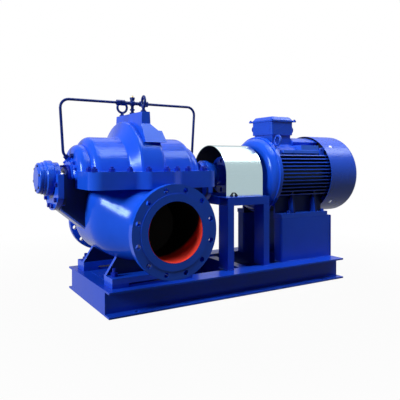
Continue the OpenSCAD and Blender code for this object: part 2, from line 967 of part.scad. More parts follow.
// Coupling half on the -X side of its gap, with pockets for the drive pins
module coupling_half(shaft_r) {
    pins = 8;
    color(paint)
        difference() {
            union() {
                rod_x(-coupling_flange_t, coupling_flange_t, coupling_r);
                rod_x(-coupling_l, coupling_l, coupling_hub_r);
            }
            rod_x(-coupling_l - 1, coupling_l + 2, shaft_r);
            for (i = [0 : pins - 1])
                rotate([i * 360 / pins, 0, 0])
                    translate([0, 0, (coupling_r + coupling_hub_r) / 2])
                        rod_x(-coupling_flange_t - 1, coupling_flange_t / 2 + 1, 14);
        }
}

module coupling_pump_half() {
    at_shaft()
        translate([coupling_x - coupling_gap / 2, 0, 0])
            coupling_half(pump_shaft_r);
}

module coupling_motor_half() {
    at_shaft()
        translate([coupling_x + coupling_gap / 2, 0, 0])
            mirror([1, 0, 0])
                coupling_half(motor_shaft_r);
}

module motor_shaft() {
    x0 = coupling_x + coupling_gap / 2;
    color("silver")
        at_shaft()
            rod_x(x0, fan_x + fan_l + shaft_tail - x0, motor_shaft_r);
}

module cooling_fan() {
    blades = 9;
    fan_r = cowl_r - fan_room;
    hub_wall = 22;
    root_r = motor_shaft_r + hub_wall - 10;
    color("dimgray")
        at_shaft()
            difference() {
                union() {
                    rod_x(fan_x, fan_l, motor_shaft_r + hub_wall);
                    rod_x(fan_x, 6, fan_r * 0.8);
                    for (i = [0 : blades - 1])
                        rotate([i * 360 / blades, 0, 0])
                            translate([fan_x, -3, root_r])
                                cube([fan_l - 4, 6, fan_r - root_r]);
                }
                rod_x(fan_x - 1, fan_l + 2, motor_shaft_r);
            }
}

// Arch of the guard: straight sides under a half round
module guard_outline(hw, drop) {
    circle(hw);
    translate([-hw, -drop])
        square([2 * hw, drop]);
}

module coupling_guard() {
    color("lightgray")
        at_shaft()
            along_x(guard_x, guard_l)
                difference() {
                    guard_outline(guard_hw, stand_drop);
                    translate([0, -eps])
                        guard_outline(guard_hw - guard_t, stand_drop + 1);
                    translate([-big / 2, -stand_drop - big])
                        square(big);
                }
}

// Channel outline of a post, its back open towards the middle of the base
module post_section() {
    difference() {
        square([post_w, stand_depth]);
        translate([stand_wall, stand_wall])
            square([post_w - 2 * stand_wall, stand_depth]);
    }
}

module guard_posts() {
    color(paint)
        for (s = [0, 1], x = [stand_x, stand_x + stand_l - post_w])
            mirror([0, s, 0])
                translate([x, -stand_hw, beam_h])
                    linear_extrude(stand_top - stand_beam_h - beam_h)
                        post_section();
}

module guard_beams() {
    color(paint)
        for (s = [0, 1])
            mirror([0, s, 0])
                translate([0, -stand_hw, stand_top - stand_beam_h])
                    along_x(stand_x, stand_l)
                        difference() {
                            square([stand_depth, stand_beam_h]);
                            translate([stand_wall, -1])
                                square([stand_depth - 2 * stand_wall, stand_beam_h - stand_wall + 1]);
                        }
}

module guard_end_beams() {
    hw = stand_hw - stand_depth;
    color(paint)
        for (x = [stand_x, stand_x + stand_l - post_w])
            translate([x, 0, stand_top - stand_beam_h])
                along_y(-hw, 2 * hw)
                    difference() {
                        square([post_w, stand_beam_h]);
                        translate([stand_wall, -1])
                            square([post_w - 2 * stand_wall, stand_beam_h - stand_wall + 1]);
                    }
}

// Round frame with horizontal fins on both sides
module frame_section() {
    circle(frame_r);
    intersection() {
        circle(fin_r);
        for (i = [0 : fin_count - 1])
            translate([-fin_r, (i - (fin_count - 1) / 2) * fin_pitch - fin_t / 2])
                square([2 * fin_r, fin_t]);
    }
}

// Feet of the motor and the walls that join them to the frame
module feet_section() {
    for (s = [-1, 1]) {
        translate([s * (motor_foot_hw - motor_foot_w / 2), motor_foot_z + motor_foot_t / 2])
            square([motor_foot_w, motor_foot_t], center = true);
        translate([s * (motor_foot_hw - motor_foot_w + 8), motor_foot_z / 2 - 40])
            square([16, motor_h - 80], center = true);
    }
}

// Rib from a motor foot up to the frame, one on each side
module foot_rib_section() {
    for (s = [0, 1])
        mirror([s, 0])
            polygon([
                [-motor_foot_hw + 10, motor_foot_z + motor_foot_t - 1],
                [-motor_foot_hw + motor_foot_w, motor_foot_z + motor_foot_t - 1],
                [-frame_r * 0.6, -frame_r * 0.7],
                [-frame_r * 0.9, -frame_r * 0.43]
            ]);
}

// Line from the shaft through the motor's lifting eye
module at_motor_eye() {
    at_shaft()
        translate([motor_eye_x, 0, 0])
            rotate([motor_eye_lean, 0, 0])
                children();
}

module motor_frame() {
    rib_t = 16;
    color(paint)
        at_shaft()
            difference() {
                union() {
                    along_x(frame_x, frame_l)
                        frame_section();
                    along_x(frame_x, frame_l - cowl_lap - foot_gap)
                        feet_section();
                    for (x = [120, 312])
                        along_x(frame_x + x - rib_t / 2, rib_t)
                            foot_rib_section();
                    translate([tbox_x + 8, -tbox_hw + 8, 0])
                        cube([tbox_l - 16, 2 * tbox_hw - 16, tbox_h0 - tbox_neck_h]);
                }
                rod_x(frame_x - 1, frame_l + 2, motor_shaft_r + shaft_gap);
            }
    color(paint)
        at_motor_eye()
            translate([0, 0, frame_r / 2])
                cylinder(h = motor_eye_seat - frame_r / 2, r = eye_wire * 1.3);
}

// Domed end shield at the drive end
module motor_front_shield() {
    hub_r = 116;
    color(paint)
        at_shaft()
            difference() {
                turn_x()
                    polygon(concat(
                        [[0, motor_x], [hub_r - 10, motor_x], [hub_r, motor_x + 10], [hub_r + 6, motor_x + 24]],
                        arc(fin_r - 68, frame_x - 15, 60, 250, 350, 8),
                        [[fin_r - 4, frame_x - 27], [fin_r, frame_x - 23], [fin_r, frame_x], [0, frame_x]]
                    ));
                rod_x(motor_x - 1, shield_l + 2, motor_shaft_r + run_gap);
            }
}

// Rear shield with four lugs that hold the cowl
module motor_rear_shield() {
    color(paint)
        at_shaft()
            difference() {
                union() {
                    rod_x(rear_x, 20, frame_r);
                    rod_x(rear_x, rear_l, 100);
                    intersection() {
                        for (a = [45, 135])
                            rotate([a, 0, 0])
                                translate([rear_x, -14, -cowl_r])
                                    cube([20, 28, 2 * cowl_r]);
                        rod_x(rear_x, 20, cowl_r - cowl_t);
                    }
                }
                rod_x(rear_x - 1, rear_l + 2, motor_shaft_r + run_gap);
            }
}

// Cowl over the fan, open to the frame and with a ring grille in its end
module fan_cowl() {
    outer = concat(
        [[cowl_r, 0]],
        arc(cowl_r - cowl_round, cowl_l - cowl_round, cowl_round, 0, 90, 8),
        [[0, cowl_l]]
    );
    inner = concat(
        [[0, cowl_l - cowl_t]],
        arc(cowl_r - cowl_round, cowl_l - cowl_round, cowl_round - cowl_t, 90, 0, 8),
        [[cowl_r - cowl_t, 0]]
    );
    rings = 7;
    slot_w = 16;
    spoke_w = 12;
    color(paint)
        at_shaft()
            translate([cowl_x, 0, 0])
                difference() {
                    turn_x()
                        polygon(concat(outer, inner));
                    difference() {
                        for (i = [0 : rings - 1])
                            along_x(cowl_l - cowl_t - 1, cowl_t + 2)
                                difference() {
                                    circle(58 + i * 24 + slot_w);
                                    circle(58 + i * 24);
                                }
                        for (a = [0 : 45 : 135])
                            rotate([a, 0, 0])
                                translate([cowl_l - cowl_t - 2, -spoke_w / 2, -cowl_r])
                                    cube([cowl_t + 4, spoke_w, 2 * cowl_r]);
                    }
                }
}

// Terminal box on its neck
module terminal_box() {
    color(paint)
        at_shaft()
            translate([tbox_x + tbox_l / 2, 0, 0]) {
                translate([0, 0, tbox_h0 - tbox_neck_h])
                    linear_extrude(tbox_neck_h + 1)
                        round_rect(tbox_l - 18, 2 * tbox_hw - 18, 10);
                translate([0, 0, tbox_h0])
                    linear_extrude(tbox_h)
                        round_rect(tbox_l, 2 * tbox_hw, 12);
            }
}

// Bevelled lid with a screw lug at each corner
module terminal_box_cover() {
    rim_h = 12;
    color(paint)
        at_shaft()
            translate([tbox_x + tbox_l / 2, 0, tbox_h1]) {
                linear_extrude(rim_h)
                    round_rect(tbox_l + 10, 2 * tbox_hw + 10, 14);
                hull() {
                    translate([0, 0, rim_h - 1])
                        linear_extrude(1)
                            round_rect(tbox_l + 6, 2 * tbox_hw + 6, 14, $fn = 32);
                    translate([0, 0, lid_h - 1])
                        linear_extrude(1)
                            round_rect(tbox_l - 26, 2 * tbox_hw - 26, 14, $fn = 32);
                }
                for (sx = [-1, 1], sy = [-1, 1])
                    translate([sx * (tbox_l / 2 + 8), sy * (tbox_hw + 6), 0])
                        cylinder(h = rim_h, r = 11);
            }
}

module motor_lifting_eye() {
    color(paint)
        at_motor_eye()
            translate([0, 0, motor_eye_seat])
                eye_bolt(80);
}

// Flat box and its ledge on the frame's upper front flank, above the fins
module auxiliary_box() {
    aux_x = frame_x + aux_inset;
    ledge_x = cowl_x - foot_gap - ledge_l;
    aux_z = (fin_count - 1) / 2 * fin_pitch + fin_t / 2 + aux_gap;
    color(paint)
        at_shaft()
            difference() {
                union() {
                    translate([aux_x, aux_sink - frame_r, aux_z])
                        cube([aux_l, 80, aux_h]);
                    translate([ledge_x, aux_sink - frame_r - ledge_out, aux_z])
                        cube([ledge_l, 40, ledge_h]);
                }
                rod_x(frame_x, frame_l, frame_r);
            }
}

// Welded box under one pair of motor feet
module pedestal(side) {
    color(paint)
        translate([frame_x + frame_l / 2, side * (pedestal_in + pedestal_w / 2), beam_h])
            linear_extrude(pedestal_h)
                round_rect(frame_l, pedestal_w, 12);
}

rail(-1);  // base_front_rail
rail(1);  // base_back_rail
base_end(-1);  // base_left_end
base_end(1);  // base_right_end
base_cross_members();
pump_pads();
lower_casing();
upper_casing();
lifting_eyes();
vent_cross();
color(paint) pump_side(-1) flush_pipe();  // flush_pipe_left
color(paint) pump_side(1) flush_pipe();  // flush_pipe_right
pump_side(-1) gland();  // gland_left
pump_side(1) gland();  // gland_right
pump_side(-1) bearing_housing();  // bearing_housing_left
pump_side(1) bearing_housing();  // bearing_housing_right
pump_side(-1) bearing_cap(false);  // bearing_cap_left
pump_side(1) bearing_cap(true);  // bearing_cap_right
pump_shaft();
coupling_pump_half();
coupling_motor_half();
motor_shaft();
cooling_fan();
coupling_guard();
guard_posts();
guard_beams();
guard_end_beams();
motor_frame();
motor_front_shield();
motor_rear_shield();
fan_cowl();
terminal_box();
terminal_box_cover();
motor_lifting_eye();
auxiliary_box();
pedestal(-1);  // motor_pedestal_front
pedestal(1);  // motor_pedestal_back
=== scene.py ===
"""Looks of a split case pump set: enamel, sheet steel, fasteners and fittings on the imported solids.

Lengths are written in millimetres and turned to metres where a mesh is made.
"""

from __future__ import annotations

import json
import logging
import math
import random
from collections.abc import Callable, Iterable, Sequence
from dataclasses import dataclass
from enum import Enum
from functools import cache

import bpy
from bpy.types import Material, Node, NodeSocket, NodeTree, Object, bpy_struct
from mathutils import Matrix, Vector

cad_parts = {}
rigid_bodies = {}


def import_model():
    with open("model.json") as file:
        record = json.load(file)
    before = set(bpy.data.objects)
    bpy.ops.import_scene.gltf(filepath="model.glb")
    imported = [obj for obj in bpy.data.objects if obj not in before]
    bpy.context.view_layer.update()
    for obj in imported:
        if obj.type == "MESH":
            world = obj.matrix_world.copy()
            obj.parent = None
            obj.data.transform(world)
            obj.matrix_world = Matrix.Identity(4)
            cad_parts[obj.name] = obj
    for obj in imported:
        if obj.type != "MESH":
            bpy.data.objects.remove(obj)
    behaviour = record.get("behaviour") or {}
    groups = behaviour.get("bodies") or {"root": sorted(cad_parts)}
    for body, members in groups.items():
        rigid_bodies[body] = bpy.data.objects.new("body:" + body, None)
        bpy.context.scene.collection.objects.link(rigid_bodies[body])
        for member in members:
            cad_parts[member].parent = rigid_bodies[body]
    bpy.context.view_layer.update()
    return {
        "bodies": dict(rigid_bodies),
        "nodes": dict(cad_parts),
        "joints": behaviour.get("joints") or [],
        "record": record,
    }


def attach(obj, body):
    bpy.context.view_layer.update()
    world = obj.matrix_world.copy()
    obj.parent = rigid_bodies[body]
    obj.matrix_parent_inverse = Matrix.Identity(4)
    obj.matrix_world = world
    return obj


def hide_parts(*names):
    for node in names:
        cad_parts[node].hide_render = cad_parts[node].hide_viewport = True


LOG = logging.getLogger("pump_set")
MM = 0.001
SHAFT_Z = 678.0
PUMP_X = -543.0
SIDES = (-1, 1)
MERGE_MM = 0.01
CHAMFER_DROP = 0.55
FACING = 0.9
WHITE = (1.0, 1.0, 1.0, 1.0)
SKY = (0.9, 0.95, 1.0, 1.0)

Pair = tuple[float, float]
Point = tuple[float, float, float]
Inputs = dict[str | int, object]


class Body(Enum):
    """The two bodies of the set: what stands still and what turns."""

    FIXED = "stationary"
    ROTOR = "rotor"


class Slot(Enum):
    """Material slots of the record, one held by each dressing."""

    CASTING = "casting_paint"
    FRAME = "frame_paint"
    MOTOR = "motor_paint"
    GUARD = "guard_sheet"
    SHAFT = "shaft_steel"
    IRON = "bare_iron"
    PLASTIC = "fan_plastic"


def linear(hex_colour: str) -> tuple[float, float, float, float]:
    """Turn an sRGB hex colour to linear light.

    Args:
        hex_colour: Six hex digits after a hash sign.

    Returns:
        Red, green and blue as linear values, and an alpha of one.
    """
    channels = [int(hex_colour[i : i + 2], 16) / 255 for i in (1, 3, 5)]
    red, green, blue = (c / 12.92 if c <= 0.04045 else ((c + 0.055) / 1.055) ** 2.4 for c in channels)
    return red, green, blue, 1.0


def fill_inputs(tree: NodeTree, node: Node, inputs: Inputs) -> None:
    """Fill a node's inputs.

    Args:
        tree: The node tree that holds the node.
        node: The node.
        inputs: Socket values by name or number; an output socket is linked, a value is set.
    """
    for key, value in inputs.items():
        if isinstance(value, NodeSocket):
            tree.links.new(value, node.inputs[key])
        else:
            node.inputs[key].default_value = value


def add_node(tree: NodeTree, kind: str, inputs: Inputs | None = None, **settings: object) -> Node:
    """Add a shader node with its settings and its links.

    Args:
        tree: The node tree that gets the node.
        kind: The node's type name without its ShaderNode prefix.
        inputs: What goes into it, as for fill_inputs.
        settings: Properties of the node itself.

    Returns:
        The new node.
    """
    node = tree.nodes.new(f"ShaderNode{kind}")
    for key, value in settings.items():
        setattr(node, key, value)
    fill_inputs(tree, node, inputs or {})
    return node


def mix(tree: NodeTree, factor: NodeSocket, first: object, second: object) -> NodeSocket:
    """Mix two colours, each a socket or a value."""
    return add_node(tree, "Mix", {0: factor, 6: first, 7: second}, data_type="RGBA").outputs[2]


def maths(tree: NodeTree, operation: str, *inputs: object) -> NodeSocket:
    """Work out one sum from sockets or values."""
    return add_node(tree, "Math", dict(enumerate(inputs)), operation=operation).outputs[0]


def vectors(tree: NodeTree, operation: str, *inputs: object) -> Node:
    """Add a vector sum of sockets or values."""
    return add_node(tree, "VectorMath", dict(enumerate(inputs)), operation=operation)


def noise(tree: NodeTree, point: NodeSocket, scale: float, detail: float) -> NodeSocket:
    """Give the value of a noise at a point."""
    inputs = {"Vector": point, "Scale": scale, "Detail": detail}
    return add_node(tree, "TexNoise", inputs).outputs["Fac"]


def bump(tree: NodeTree, height: NodeSocket, depth_mm: float, **below: NodeSocket) -> NodeSocket:
    """Tilt the surface by a height, over another bump that is given as Normal."""
    inputs = {"Height": height, "Distance": depth_mm * MM, "Strength": 1.0, **below}
    return add_node(tree, "Bump", inputs).outputs["Normal"]


def ramp(
    tree: NodeTree,
    value: NodeSocket,
    source: Sequence[float],
    target: Sequence[float] = (0.0, 1.0),
    kind: str = "LINEAR",
) -> NodeSocket:
    """Carry a value from one range to another.

    Args:
        tree: The node tree that gets the node.
        value: The value.
        source: The range that it comes from.
        target: The range that it goes to.
        kind: How it runs between the ends.

    Returns:
        The carried value.
    """
    limits = {"From Min": source[0], "From Max": source[1], "To Min": target[0], "To Max": target[1]}
    node = add_node(tree, "MapRange", {"Value": value, **limits}, interpolation_type=kind)
    return node.outputs["Result"]


def per_metre(size_mm: float) -> float:
    """Texture scale that gives a pattern of this spacing on Object coordinates."""
    return 1.0 / (size_mm * MM)


def new_material(name: str) -> tuple[Material, NodeTree, Node, NodeSocket]:
    """Start a material with one principled shader.

    Args:
        name: The material's name.

    Returns:
        The material, its node tree, its shader and the place of the shaded point.
    """
    material = bpy.data.materials.new(name)
    material.use_nodes = True
    tree = material.node_tree
    shader = next(n for n in tree.nodes if n.type == "BSDF_PRINCIPLED")
    return material, tree, shader, add_node(tree, "TexCoord").outputs["Object"]


@dataclass(frozen=True)
class Enamel:
    """Alkyd enamel, sprayed or brushed: deep even colour, soft orange peel and a clear sheen at the edges."""

    name: str
    colour: str
    thin: str
    roughness: float
    specular: float
    wave_mm: float
    wave_depth_mm: float
    peel_mm: float = 4.0
    peel_depth_mm: float = 0.04
    sheen: str = "#B8DCFF"
    # root and the radii and height after it set painted shade: near black at the bottom of the grooves, fading
    # out towards the fin tips and above a height.
    root: str = ""
    root_r: float = 0.0
    tip_r: float = 0.0
    root_top: float = 0.0
    root_blend: float = 12.0

    def paint_groove_shade(self, tree: NodeTree, point: NodeSocket, tone: NodeSocket) -> NodeSocket:
        """Paint shade into the grooves round the shaft, darker towards their bottom.

        Args:
            tree: The material's node tree.
            point: The place of the shaded point.
            tone: The colour so far.

        Returns:
            The colour with painted shade in the grooves.
        """
        flat = vectors(tree, "MULTIPLY_ADD", point, (0.0, 1.0, 1.0), (0.0, 0.0, -SHAFT_Z * MM)).outputs[0]
        radius = vectors(tree, "LENGTH", flat).outputs["Value"]
        tip = ramp(tree, radius, (self.root_r * MM, self.tip_r * MM), kind="SMOOTHSTEP")
        height = add_node(tree, "SeparateXYZ", {"Vector": point}).outputs["Z"]
        above = ramp(tree, height, (self.root_top * MM, (self.root_top + self.root_blend) * MM))
        return mix(tree, maths(tree, "MAXIMUM", tip, above), linear(self.root), tone)

    @cache
    def material(self) -> Material:
        """Build the material, once per finish.

        Returns:
            The enamel material.
        """
        material, tree, shader, point = new_material(self.name)
        peel = noise(tree, point, per_metre(self.peel_mm), 2.0)
        wave = noise(tree, point, per_metre(self.wave_mm), 1.0)
        tone = mix(tree, wave, linear(self.colour), linear(self.thin))
        low = bump(tree, wave, self.wave_depth_mm)
        look = {
            "Base Color": self.paint_groove_shade(tree, point, tone) if self.root else tone,
            "Roughness": ramp(tree, wave, (0.0, 1.0), (0.8 * self.roughness, 1.2 * self.roughness)),
            "Normal": bump(tree, peel, self.peel_depth_mm, Normal=low),
            "Specular IOR Level": self.specular,
            "Specular Tint": linear(self.sheen),
        }
        fill_inputs(tree, shader, look)
        return material


@dataclass(frozen=True)
class WorkedMetal:
    """Metal or moulding with the marks of its making: rolled, ground, plated, primed or moulded."""

    name: str
    colour: str
    shade: str
    roughness: float
    metallic: float
    grain_mm: Point
    depth_mm: float

    @cache
    def material(self) -> Material:
        """Build the material, once per finish.

        Returns:
            The metal material.
        """
        material, tree, shader, point = new_material(self.name)
        scale = tuple(per_metre(g) for g in self.grain_mm)
        stretched = add_node(tree, "Mapping", {"Vector": point, "Scale": scale}).outputs[0]
        grain = noise(tree, stretched, 1.0, 3.0)
        look = {
            "Base Color": mix(tree, grain, linear(self.colour), linear(self.shade)),
            "Roughness": ramp(tree, grain, (0.0, 1.0), (0.75 * self.roughness, 1.25 * self.roughness)),
            "Normal": bump(tree, grain, self.depth_mm),
            "Metallic": self.metallic,
        }
        fill_inputs(tree, shader, look)
        return material


@dataclass(frozen=True)
class BoreCoat:
    """Red oxide primer brushed into a bore: matt and bright at the mouth, with painted shade going to black
    further in and higher up.
    """

    name: str
    mouth: Point
    inward: float
    colour: str = "#FF4A3C"
    shade: str = "#F84234"
    # Painted shade: the coat goes to near black going in, sooner on the upper wall than on the lower.
    deep: str = "#020101"
    shade_lean: float = 0.86
    fade_mm: Pair = (32.0, 72.0)
    brush_mm: float = 26.0
    brush_depth_mm: float = 0.2
    ragged: float = 0.3
    roughness: float = 0.6
    specular: float = 0.12

    @cache
    def material(self) -> Material:
        """Build the material, once per finish.

        Returns:
            The primer material.
        """
        material, tree, shader, point = new_material(self.name)
        brush = noise(tree, point, per_metre(self.brush_mm), 3.0)
        offset = vectors(tree, "SUBTRACT", point, tuple(c * MM for c in self.mouth)).outputs[0]
        depth = vectors(tree, "DOT_PRODUCT", offset, (0.0, self.inward, self.shade_lean)).outputs["Value"]
        edge = maths(tree, "MULTIPLY_ADD", brush, self.ragged * self.brush_mm * MM, depth)
        # Painted shade by depth and height in the bore.
        dark = ramp(tree, edge, [f * MM for f in self.fade_mm], kind="SMOOTHSTEP")
        coat = mix(tree, brush, linear(self.colour), linear(self.shade))
        look = {
            "Base Color": mix(tree, dark, coat, linear(self.deep)),
            "Normal": bump(tree, brush, self.brush_depth_mm),
            "Roughness": self.roughness,
            "Specular IOR Level": self.specular,
        }
        fill_inputs(tree, shader, look)
        return material


Finish = Enamel | WorkedMetal | BoreCoat

# Sprayed over a filled casting: wet gloss, soft waves from the filler and a fine orange peel.
CASTING_ENAMEL = Enamel(
    "gloss_enamel_on_cast_iron", "#124ACE", "#1852DA", roughness=0.17, specular=0.26,
    wave_mm=70.0, wave_depth_mm=1.0, peel_mm=5.0,
)
# Sprayed over mill scale: flat, a little duller, with long shallow waves from rolling.
FRAME_ENAMEL = Enamel(
    "gloss_enamel_on_rolled_steel", "#103FBE", "#1647CA", roughness=0.24, specular=0.2,
    wave_mm=160.0, wave_depth_mm=0.6,
)
# Factory finish of the motor: even satin with a fine peel.
MOTOR_ENAMEL = Enamel(
    "satin_enamel_on_motor", "#1242BC", "#184AC8", roughness=0.28, specular=0.34,
    wave_mm=120.0, wave_depth_mm=0.5,
)
# The same satin on the finned frame: full colour on the fin edges and on the upper frame, and painted shade,
# near black, down in the lower grooves.
FIN_ENAMEL = Enamel(
    "satin_enamel_on_finned_frame", "#1242BC", "#184AC8", roughness=0.3, specular=0.24,
    wave_mm=120.0, wave_depth_mm=0.4, root="#03081C", root_r=230.0, tip_r=248.0, root_top=806.0,
)
# The same satin painted lighter on the small box by the terminal neck, as painted light on its upward tilted
# faces.
LIT_BOX_ENAMEL = Enamel(
    "satin_with_painted_light_on_box", "#2E64DC", "#386EE6", roughness=0.28, specular=0.34,
    wave_mm=120.0, wave_depth_mm=0.4,
)
# Brushed on fasteners and glands: a thick navy coat that softens their edges.
NUT_ENAMEL = Enamel(
    "brushed_enamel_on_fasteners", "#0A2090", "#0E2AA6", roughness=0.26, specular=0.2,
    wave_mm=60.0, wave_depth_mm=0.1, peel_mm=5.0, peel_depth_mm=0.03,
)
# The same brushed coat, a darker navy, on thin pipes, eyes and plugs.
PIPE_ENAMEL = Enamel(
    "brushed_enamel_on_pipes", "#081A62", "#0B2274", roughness=0.26, specular=0.24,
    wave_mm=60.0, wave_depth_mm=0.05, peel_mm=5.0, peel_depth_mm=0.02,
)
# Enamel painted near black on low upright walls, as painted shade under the casing and the motor frame.
WALL_SHADE_ENAMEL = Enamel(
    "enamel_with_painted_shade_on_walls", "#0A1648", "#0D1C5A", roughness=0.34, specular=0.12,
    wave_mm=80.0, wave_depth_mm=0.6, peel_mm=5.0,
)
# Bright rolled sheet: a clear mirror with faint streaks along the rolling direction.
GUARD_SHEET = WorkedMetal(
    "cold_rolled_stainless_sheet", "#D8F2F8", "#CEE8EE", 0.18, 1.0, (60.0, 3.0, 3.0), 0.002
)
# Ground bar: rings from the wheel round the axis.
SHAFT_STEEL = WorkedMetal("ground_shaft_steel", "#B9BCC2", "#8E9299", 0.22, 1.0, (1.5, 60.0, 60.0), 0.02)
# Zinc on small screws: pale, slightly blue and cloudy.
ZINC_PLATE = WorkedMetal("bright_zinc_plate", "#D5DAE2", "#B4BAC4", 0.26, 1.0, (3.0, 3.0, 3.0), 0.02)
# Black oxide on fittings: near black with a faint oily sheen.
BLACK_OXIDE = WorkedMetal("black_oxide_steel", "#0B0C10", "#16181E", 0.36, 0.0, (4.0, 4.0, 4.0), 0.03)
# Cast and turned brass of the air cock: pale yellow, dulled by air.
DULL_BRASS = WorkedMetal("dulled_brass", "#E2CFA0", "#C6AF7C", 0.32, 1.0, (3.0, 3.0, 3.0), 0.02)
# Primer left bare inside the guard: near black and matt.
GUARD_PRIMER = WorkedMetal(
    "dark_primer_inside_guard", "#070A12", "#0C111C", 0.6, 0.0, (20.0, 20.0, 20.0), 0.03
)
# Injection moulded fan: dull black with a fine spark-eroded grain.
FAN_NYLON = WorkedMetal("moulded_black_nylon", "#101113", "#18191B", 0.5, 0.0, (6.0, 6.0, 6.0), 0.05)
# Red primer in the bores: warm at the mouth, painted shade going to black further in.
SUCTION_COAT = BoreCoat("red_primer_in_suction_bore", (PUMP_X, -519.0, 427.0), 1.0)
DISCHARGE_COAT = BoreCoat("red_primer_in_discharge_bore", (PUMP_X, 577.0, 380.0), -1.0)


@dataclass(frozen=True)
class Seat:
    """Where a fitting sits: its foot, the way it points out and its turn about that way."""

    foot: Point
    out: Point = (0.0, 0.0, 1.0)
    turn_deg: float = 0.0

    def matrix(self) -> Matrix:
        """Placement from the origin and +Z to this seat, in metres."""
        upright = Vector(self.out).z > 0.999
        aim = Matrix.Identity(4) if upright else Vector(self.out).to_track_quat("Z", "Y").to_matrix().to_4x4()
        turn = Matrix.Rotation(math.radians(self.turn_deg), 4, "Z")
        return Matrix.Translation(Vector(self.foot) * MM) @ aim @ turn


def clear() -> None:
    """Leave edit mode and deselect everything."""
    if bpy.context.object and bpy.context.object.mode != "OBJECT":
        bpy.ops.object.mode_set(mode="OBJECT")
    bpy.ops.object.select_all(action="DESELECT")


def take(obj: Object) -> None:
    """Select one object alone and make it active.

    Args:
        obj: The object to work on.
    """
    clear()
    obj.select_set(True)
    bpy.context.view_layer.objects.active = obj


def paint_part(obj: Object, finish: Finish, test: Callable[[Vector, Vector], bool]) -> None:
    """Give a second finish to the faces that pass a test.

    Args:
        obj: The object to paint.
        finish: The second finish.
        test: Says of a face's centre and normal whether it gets that finish.
    """
    obj.data.materials.append(finish.material())
    last = len(obj.data.materials) - 1
    for face in obj.data.polygons:
        if test(face.center, face.normal):
            face.material_index = last


def apply(obj: Object, kind: str, **settings: object) -> None:
    """Give an object a modifier and apply it.

    Args:
        obj: The object to work on.
        kind: The modifier's type.
        settings: The modifier's settings.
    """
    take(obj)
    modifier = obj.modifiers.new(kind.lower(), kind)
    for key, value in settings.items():
        setattr(modifier, key, value)
    bpy.ops.object.modifier_apply(modifier=modifier.name)


def bevel(obj: Object, width_mm: float, segments: int = 2, crease_deg: float = 30.0) -> None:
    """Break the edges of an object that are sharper than a crease."""
    crease = math.radians(crease_deg)
    apply(obj, "BEVEL", limit_method="ANGLE", angle_limit=crease, width=width_mm * MM, segments=segments)


def settle(obj: Object, crease_deg: float) -> None:
    """Smooth an object so that its large faces stay flat beside their broken edges.

    Args:
        obj: The object to smooth.
        crease_deg: Edges sharper than this stay sharp.
    """
    take(obj)
    bpy.ops.mesh.customdata_custom_splitnormals_clear()
    bpy.ops.object.shade_smooth_by_angle(angle=math.radians(crease_deg))
    apply(obj, "WEIGHTED_NORMAL", keep_sharp=True)


def edit_all(obj: Object) -> None:
    """Go into edit mode with the whole mesh selected.

    Args:
        obj: The object to work on.
    """
    take(obj)
    bpy.ops.object.mode_set(mode="EDIT")
    bpy.ops.mesh.select_all(action="SELECT")


def leave() -> None:
    """Leave edit mode."""
    bpy.ops.object.mode_set(mode="OBJECT")


def pick(obj: Object, kind: str, test: Callable[[bpy_struct], bool]) -> None:
    """Go into edit mode with the faces or points selected that pass a test.

    Args:
        obj: The object to work on.
        kind: What is picked, FACE or VERT.
        test: Says of a face or a point whether it is taken.
    """
    edit_all(obj)
    bpy.ops.mesh.select_mode(type=kind)
    bpy.ops.mesh.select_all(action="DESELECT")
    leave()
    for item in obj.data.polygons if kind == "FACE" else obj.data.vertices:
        item.select = test(item)
    bpy.ops.object.mode_set(mode="EDIT")


def prism(sides: int, radius: float, low: float, high: float, chamfer: float) -> Object:
    """Add a prism along Z with its top edge chamfered.

    Args:
        sides: How many sides it has.
        radius: Its radius over the corners.
        low: The height of its foot.
        high: The height of its top.
        chamfer: How far its top edge is broken.

    Returns:
        The new object.
    """
    clear()
    drop = CHAMFER_DROP * chamfer
    bpy.ops.mesh.primitive_cylinder_add(
        vertices=sides,
        radius=radius * MM,
        depth=(high - low - drop) * MM,
        location=(0.0, 0.0, (low + high - drop) / 2 * MM),
    )
    piece = bpy.context.object
    bpy.ops.object.transform_apply()
    pick(piece, "FACE", lambda face: face.normal.z > FACING)
    bpy.ops.mesh.inset(thickness=chamfer * MM, depth=drop * MM)
    leave()
    return piece


def slab(low: Point, high: Point, edge_mm: float, segments: int = 2) -> Object:
    """Add a plate between two corners with its edges broken.

    Args:
        low: Its lowest corner.
        high: Its highest corner.
        edge_mm: How far its edges are broken.
        segments: How many steps round each edge.

    Returns:
        The new object.
    """
    start, end = Vector(low) * MM, Vector(high) * MM
    clear()
    bpy.ops.mesh.primitive_cube_add(size=1.0, location=(start + end) / 2, scale=end - start)
    plate = bpy.context.object
    bpy.ops.object.transform_apply()
    bevel(plate, edge_mm, segments)
    return plate


def slab_pair(low: Point, high: Point, edge_mm: float, segments: int = 2) -> Object:
    """Add a plate as slab does, and its like on the other side of the shaft."""
    seats = [Seat((0.0, 0.0, 0.0)), Seat((0.0, -(low[1] + high[1]), 0.0))]
    return spread(slab(low, high, edge_mm, segments), seats)


def disc(sides: int, radius: float, centre: Point, turn: Point) -> Object:
    """Add a filled circle and go into edit mode with all of it selected.

    Args:
        sides: How many sides it has.
        radius: Its radius.
        centre: Its middle.
        turn: Its turn about the three axes.

    Returns:
        The new object.
    """
    clear()
    bpy.ops.mesh.primitive_circle_add(
        vertices=sides, radius=radius * MM, location=Vector(centre) * MM, rotation=turn, fill_type="NGON"
    )
    piece = bpy.context.object
    bpy.ops.object.transform_apply()
    edit_all(piece)
    return piece


